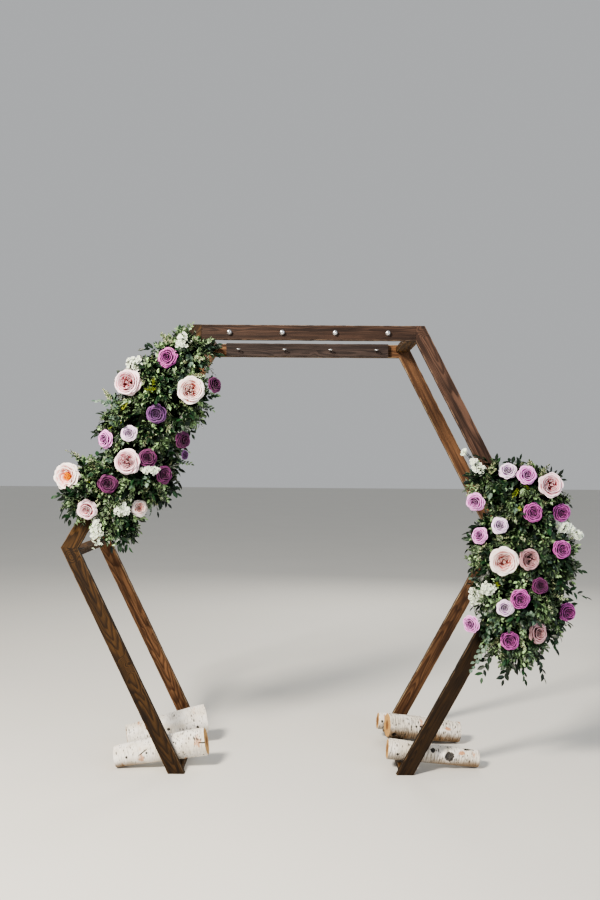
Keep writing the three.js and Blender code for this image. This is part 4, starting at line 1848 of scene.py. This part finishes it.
@dataclass
class Arrangement:
    """One of the two flower arrangements on the front frame.

    Blooms, florets and long sprays are given by where the viewer sees them, so it needs the studio.
    """

    side: str  # "left" or "right"
    design: Design
    nodes: Nodes
    studio: Studio
    bloom_plane: float = 0.150  # distance in front of the frame at which the blooms' places are given
    sink: float = 0.28  # how deep a bloom's foot is in the greenery, in bloom radii
    root_depth: float = 0.05  # how deep the stems are rooted
    board_room: float = 0.020  # least distance of a sprig from a board
    core_depth: float = 0.045  # how far the moss lies under the greenery's outside
    core_gap: float = 0.010  # how far it stays behind a bloom's foot
    core_voxel: float = 0.011  # size of its faces
    tuft: float = 0.011  # how high its tufts stand
    overshoot: float = -0.004  # how far the usual sprig reaches beyond the greenery's outside
    bloom_stem: float = 0.0034  # thickness
    sprig_stem: float = 0.0018
    floret_stem: float = 0.0014
    sprigs: tuple[tuple[Habit, int], ...] = (
        (BOX, 540), (RUSCUS, 190), (SILVER, 34), (EDGED, 105), (LIME, 6),
    )
    back_sprigs: tuple[tuple[Habit, int], ...] = ((BOX, 70), (RUSCUS, 60), (EDGED, 12))

    def __post_init__(self) -> None:
        """Prepares the surfaces that flowers and sprigs are set against."""
        self.dice = random.Random(self.design.seed)
        self.florist = Florist(self.dice)
        self.greenery = self.nodes[f"{self.side}_greenery"]
        self.outside = self.search_tree([self.greenery])
        boards = [node for name, node in self.nodes.items() if name.endswith(BOARD_ENDINGS)]
        self.boards = self.search_tree(boards)
        self.seats: list[tuple[Vector, Vector, float]] = []
        self.stems: list[Shape] = []

    @staticmethod
    def search_tree(pieces: list[Piece]) -> BVHTree:
        """Makes one search tree of several meshes.

        Args:
            pieces: The meshes' objects.

        Returns:
            The tree.
        """
        places, faces = [], []
        for piece in pieces:
            start = len(places)
            places += [tuple(vertex.co) for vertex in piece.data.vertices]
            faces += [tuple(start + corner for corner in face.vertices) for face in piece.data.polygons]
        return BVHTree.FromPolygons(places, faces)

    def seen_at(self, x: float, z: float) -> tuple[Vector, Vector]:
        """Finds where the greenery is, seen through a place in front of the frame.

        Args:
            x: Distance to the right of the middle between the feet.
            z: Height.

        Returns:
            The place on the greenery, and the way it faces there.
        """
        eye = self.studio.eye
        through = Vector((self.studio.middle_x + x, self.studio.face_y - self.bloom_plane, z))
        direction = (through - eye).normalized()
        place, facing, _, _ = self.outside.ray_cast(eye, direction)
        if place is None:
            near, facing, _, _ = self.outside.find_nearest(through)
            place = eye + direction * ((near.y - eye.y) / direction.y)
        return place, facing

    def root_near(self, place: Vector) -> Vector:
        """Finds where a stem that comes out near a place is rooted, inside the greenery."""
        nearest, normal, _, _ = self.outside.find_nearest(place)
        return nearest - normal * self.root_depth

    def node_seat(self, node: str) -> tuple[Vector, Vector, float]:
        """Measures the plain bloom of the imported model.

        Args:
            node: Its name.

        Returns:
            The middle of its foot, the way it faces, and its radius.
        """
        places = places_of(self.nodes[node].data)
        rough = places.mean(axis=0)
        axis = np.linalg.eigh(np.cov((places - rough).T))[1][:, 0]
        axis = axis if axis[1] < 0 else -axis
        reach = (places - rough) @ axis
        away = (places - rough) - np.outer(reach, axis)
        middle = rough + (away.min(axis=0) + away.max(axis=0)) / 2
        radius = float(np.linalg.norm(away - away.mean(axis=0), axis=1).max())
        return Vector(middle + axis * reach.min()), Vector(axis), radius

    def bloom(self, flower: Flower) -> None:
        """Models one bloom and keeps its room clear of leaves.

        Args:
            flower: The bloom.
        """
        nodes = [f"{self.side}_{flower.node}"] if flower.node else []
        if nodes:
            foot, lean, radius = self.node_seat(*nodes)
            facing = (lean + FRONT * flower.front).normalized()
            foot += (lean - facing) * radius * 0.5
            radius *= 1.0 if flower.form is ROSE else 1.06
        else:
            place, normal = self.seen_at(flower.x, flower.z)
            radius = flower.width / 2
            facing = (normal * 0.6 + FRONT * 0.8 + Vector((flower.aside, 0, 0.10))).normalized()
            foot = place - facing * radius * self.sink
        axes = axes_facing(facing)
        shape = self.florist.bloom(flower.form).placed(axes * radius, foot)
        finishes = [flower.variety.value] + [GOLD_ANTHERS] * (flower.form is PEONY)
        piece = shape.as_piece(f"{self.side}_{flower.name}", finishes, 55)
        pale = flower.variety in (BLUSH, CREAM, PEACH)
        report(piece, "pale_petals" if pale else "purple_petals", *nodes)
        self.seats.append((foot, facing, radius))
        self.stem(foot + facing * radius * 0.1, self.root_near(foot), self.bloom_stem)
        for sepal in range(5):
            turn = Matrix.Rotation(math.tau * sepal / 5, 3, facing)
            out = turn @ (Vector(axes[:, 0]) + facing * 0.75)
            spread = np.array([0.30, 0.85, 0.30]) * radius
            start = foot + facing * radius * 0.02
            self.blade(self.florist.leaf, start, axes_along(out, -facing) * spread)

    def blade(self, mould: Shape, start: Vector, axes: np.ndarray) -> None:
        """Adds one green blade to the stems, on scaled axes."""
        self.stems.append(mould.placed(axes, start, **leaf_marks(mould, self.dice.random() * 0.8)))

    def stem(self, start: Vector, end: Vector, thick: float) -> None:
        """Adds one straight piece of stem.

        Args:
            start: Where it starts.
            end: Where it ends.
            thick: Its thickness.
        """
        run = end - start
        spread = np.array([thick, run.length * 1.06, thick * 16])
        self.blade(self.florist.small_leaf, start - run * 0.03, axes_along(run, FRONT) * spread)

    def is_clear(self, path: list[Vector]) -> bool:
        """Says whether a sprig's stem keeps off the boards and leaves the blooms in view.

        Args:
            path: Places along the stem.

        Returns:
            Whether it does.
        """
        for place in path:
            _, _, _, away = self.boards.find_nearest(place, self.board_room)
            if away is not None:
                return False
            for foot, facing, radius in self.seats:
                offset = place - foot
                height = offset.dot(facing)
                if height > 0.1 * radius and (offset - facing * height).length < 1.08 * radius + 0.006:
                    return False
                offset -= facing * radius * 0.5
                sight = (self.studio.eye - foot).normalized()
                nearer = offset.dot(sight)
                if nearer > 0 and (offset - sight * nearer).length < 0.95 * radius + 0.008:
                    return False
        return True

    def sprig(
        self, habit: Habit, foot: Vector, direction: Vector, above: Vector, length: float
    ) -> list[Shape]:
        """Grows one sprig.

        Args:
            habit: What grows.
            foot: Where its stem starts.
            direction: Where it points.
            above: Where its leaves face.
            length: Its length.

        Returns:
            Its leaves, or none where a board or bloom is in the way.
        """
        axes = Matrix(axes_along(direction, above).tolist())
        sway, droop = self.dice.uniform(-0.25, 0.25), habit.droop * self.dice.uniform(0.6, 1.4)

        def spot(share: float) -> Vector:
            """A place along the stem."""
            bend = axes @ Vector((sway * share**2, share, 0)) * length
            return foot + bend - UP * droop * share**2 * length

        path = [spot(share / 4) for share in range(5)]
        if not self.is_clear(path):
            return []
        mould = self.florist.leaf if habit.fine else self.florist.small_leaf
        leaves = []
        for number in range(habit.leaves):
            share = 0.12 + 0.88 * (number + 1) / habit.leaves
            start = spot(share)
            run = (spot(share + 0.02) - start).normalized()
            roll = (number % 2) * math.pi + self.dice.uniform(-0.9, 0.9)
            aside = (axes @ Vector((math.cos(roll), 0, math.sin(roll)))).normalized()
            lean = habit.angle * self.dice.uniform(0.7, 1.25) if number < habit.leaves - 1 else 0.1
            points = run * math.cos(lean) + aside * math.sin(lean)
            face = axes @ Vector((self.dice.uniform(-0.5, 0.5), 0, 1)) + UP * 0.3
            size = self.dice.uniform(0.75, 1.15) * (1.05 - 0.3 * share)
            spread = np.array([habit.leaf_width, habit.leaf_length, habit.leaf_width]) * size
            # Most leaves get a dark tone as painted shade, a few a bright one as a painted glint.
            marks = leaf_marks(mould, self.dice.random() ** 4)
            leaves.append(mould.placed(axes_along(points, face) * spread, start, **marks))
        for low, high in zip(path[:-1], path[1:]):
            self.stem(low, high, self.sprig_stem)
        return leaves

    def surface_spots(self, front: float, slope: float) -> Iterator[tuple[Vector, Vector]]:
        """Draws places on the greenery's outside without end.

        Args:
            front: How often a face that looks sideways is drawn.
            slope: How much more often one that looks to the back is drawn.

        Yields:
            A place and the way it faces.
        """
        mesh = self.greenery.data
        mesh.calc_loop_triangles()
        triangles = [[mesh.vertices[corner].co for corner in face.vertices] for face in mesh.loop_triangles]
        normals = [face.normal.copy() for face in mesh.loop_triangles]
        areas = [face.area * max(0.0, front + slope * face.normal.y) for face in mesh.loop_triangles]
        while True:
            number = self.dice.choices(range(len(areas)), areas)[0]
            first, second = sorted((self.dice.random(), self.dice.random()))
            a, b, c = triangles[number]
            yield a * first + b * (second - first) + c * (1 - second), normals[number]

    def grown(self, habit: Habit, count: int, spots: Iterator[tuple[Vector, Vector]]) -> list[Shape]:
        """Grows sprigs of one kind.

        Args:
            habit: What grows.
            count: How many sprigs are wanted.
            spots: Where they may stand.

        Returns:
            All their leaves.
        """
        leaves: list[Shape] = []
        for _ in range(count * 4):
            if count == 0:
                break
            place, normal = next(spots)
            blocked = self.boards.ray_cast(place + normal * 0.002, normal, 0.06)[0]
            if blocked is not None:
                continue
            drift = Vector([self.dice.gauss(0, 1) for _ in range(3)])
            drift = (drift - normal * drift.dot(normal)).normalized()
            direction = (normal * self.dice.uniform(0.25, 0.8) + drift * 0.8 - UP * 0.2).normalized()
            length = habit.length * self.dice.uniform(0.8, 1.15)
            beyond = min(self.dice.gauss(self.overshoot, 0.010), self.overshoot + 0.018)
            beyond -= 0.022 * max(0.0, normal.z)
            foot = place - normal * max(0.03, length * direction.dot(normal) - beyond)
            sprig = self.sprig(habit, foot, direction, normal + UP * 0.6, length)
            leaves += sprig
            count -= bool(sprig)
        return leaves

    def foliage(self) -> None:
        """Grows all the sprigs and long sprays, one piece for each kind of leaf."""
        spots = self.surface_spots(1.25, -0.75)
        leaves = {habit: self.grown(habit, count, spots) for habit, count in self.sprigs}
        for row in self.design.trailers:
            trailer = Trailer(*row)
            place, normal = self.seen_at(trailer.x, trailer.z)
            heading = math.radians(trailer.towards)
            lean = 0.1 if trailer.behind else -trailer.out
            direction = Vector((math.cos(heading), lean, math.sin(heading))).normalized()
            foot = place - normal * (0.02 if trailer.out > 0.5 else 0.05) - FRONT * trailer.behind
            above, habit = normal + UP * 0.3, trailer.habit
            leaves[habit] += self.sprig(habit, foot, direction, above, trailer.length)
        spots = self.surface_spots(0.0, 1.0)
        for habit, count in self.back_sprigs:
            leaves[habit] += self.grown(habit, count, spots)
        for habit, shapes in leaves.items():
            piece = Shape.joined(shapes).as_piece(f"{self.side}_{habit.name}_leaves", [habit.finish], 30)
            report(piece, "foliage")

    def florets(self) -> None:
        """Strews the bunches of white florets."""
        shapes = []
        moulds = [self.florist.floret() for _ in range(4)]
        for cluster in (Cluster(*row) for row in self.design.clusters):
            place, normal = self.seen_at(cluster.x, cluster.z)
            out = (normal * 0.5 + FRONT).normalized()
            root = self.root_near(place)
            count = int(10 + cluster.width * cluster.tall * 5000)
            for number in range(count):
                ring, turn = math.sqrt((number + 0.5) / count), number * GOLDEN_TURN
                away = Vector((ring * math.cos(turn), ring * math.sin(turn)))
                away += Vector((self.dice.gauss(0, 0.16), self.dice.gauss(0, 0.16)))
                aside = Vector((away.x * cluster.width / 2, 0, away.y * cluster.tall / 2))
                crown = 0.030 * math.sqrt(max(0.0, 1 - away.length_squared))
                spot = place + aside + out * (0.010 + (crown + self.dice.uniform(-0.010, 0.010)))
                facing = (out + aside * 12 + Vector([self.dice.gauss(0, 0.3) for _ in range(3)])).normalized()
                axes = axes_facing(facing) * self.dice.uniform(0.0105, 0.0145)
                shapes.append(self.dice.choice(moulds).placed(axes, spot))
                self.stem(spot, root + aside * 0.3, self.floret_stem)
        piece = Shape.joined(shapes).as_piece(f"{self.side}_white_florets", [WHITE_FLORETS], 30)
        report(piece, "pale_petals")

    def core(self) -> None:
        """Models the moss under the leaves, a little smaller than the greenery's outside."""
        piece = linked(f"{self.side}_moss", self.greenery.data.copy())
        with editing(piece):
            bpy.ops.mesh.remove_doubles(threshold=MERGE)
            bpy.ops.transform.shrink_fatten(value=-self.core_depth)
        piece.data.remesh_voxel_size = self.core_voxel
        bpy.ops.object.voxel_remesh()
        for vertex, normal in [(vertex, vertex.normal.copy()) for vertex in piece.data.vertices]:
            vertex.co += normal * noise.fractal(vertex.co * 36, 0.7, 2.0, 3) * self.tuft
        for vertex in piece.data.vertices:
            for foot, facing, radius in self.seats:
                offset = vertex.co - foot
                height = offset.dot(facing)
                aside = (offset - facing * height).length
                if height > -self.core_gap and aside < 1.35 * radius:
                    vertex.co -= facing * (height + self.core_gap)
        hold(piece)
        bpy.ops.object.shade_smooth()
        dress(piece, MOSS)
        report(piece, "foliage", f"{self.side}_greenery")

    def build(self) -> None:
        """Models the blooms, the foliage, the florets, the moss and the stems."""
        for row in self.design.flowers:
            self.bloom(Flower(*row))
        self.foliage()
        self.florets()
        self.core()
        report(Shape.joined(self.stems).as_piece(f"{self.side}_stems", [STEM_GREEN], 40), "foliage")


def main() -> None:
    """Builds the chuppah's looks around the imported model."""
    logging.basicConfig(level=logging.INFO, format="%(name)s %(message)s")
    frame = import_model()
    nodes = frame["nodes"]
    studio = Studio()
    studio.build()
    for assembly in (TimberFrame(nodes), Fasteners(), BirchLogs(nodes)):
        assembly.build()
    for side, design in (("left", LEFT), ("right", RIGHT)):
        Arrangement(side, design, nodes, studio).build()


if __name__ == "__main__":
    main()
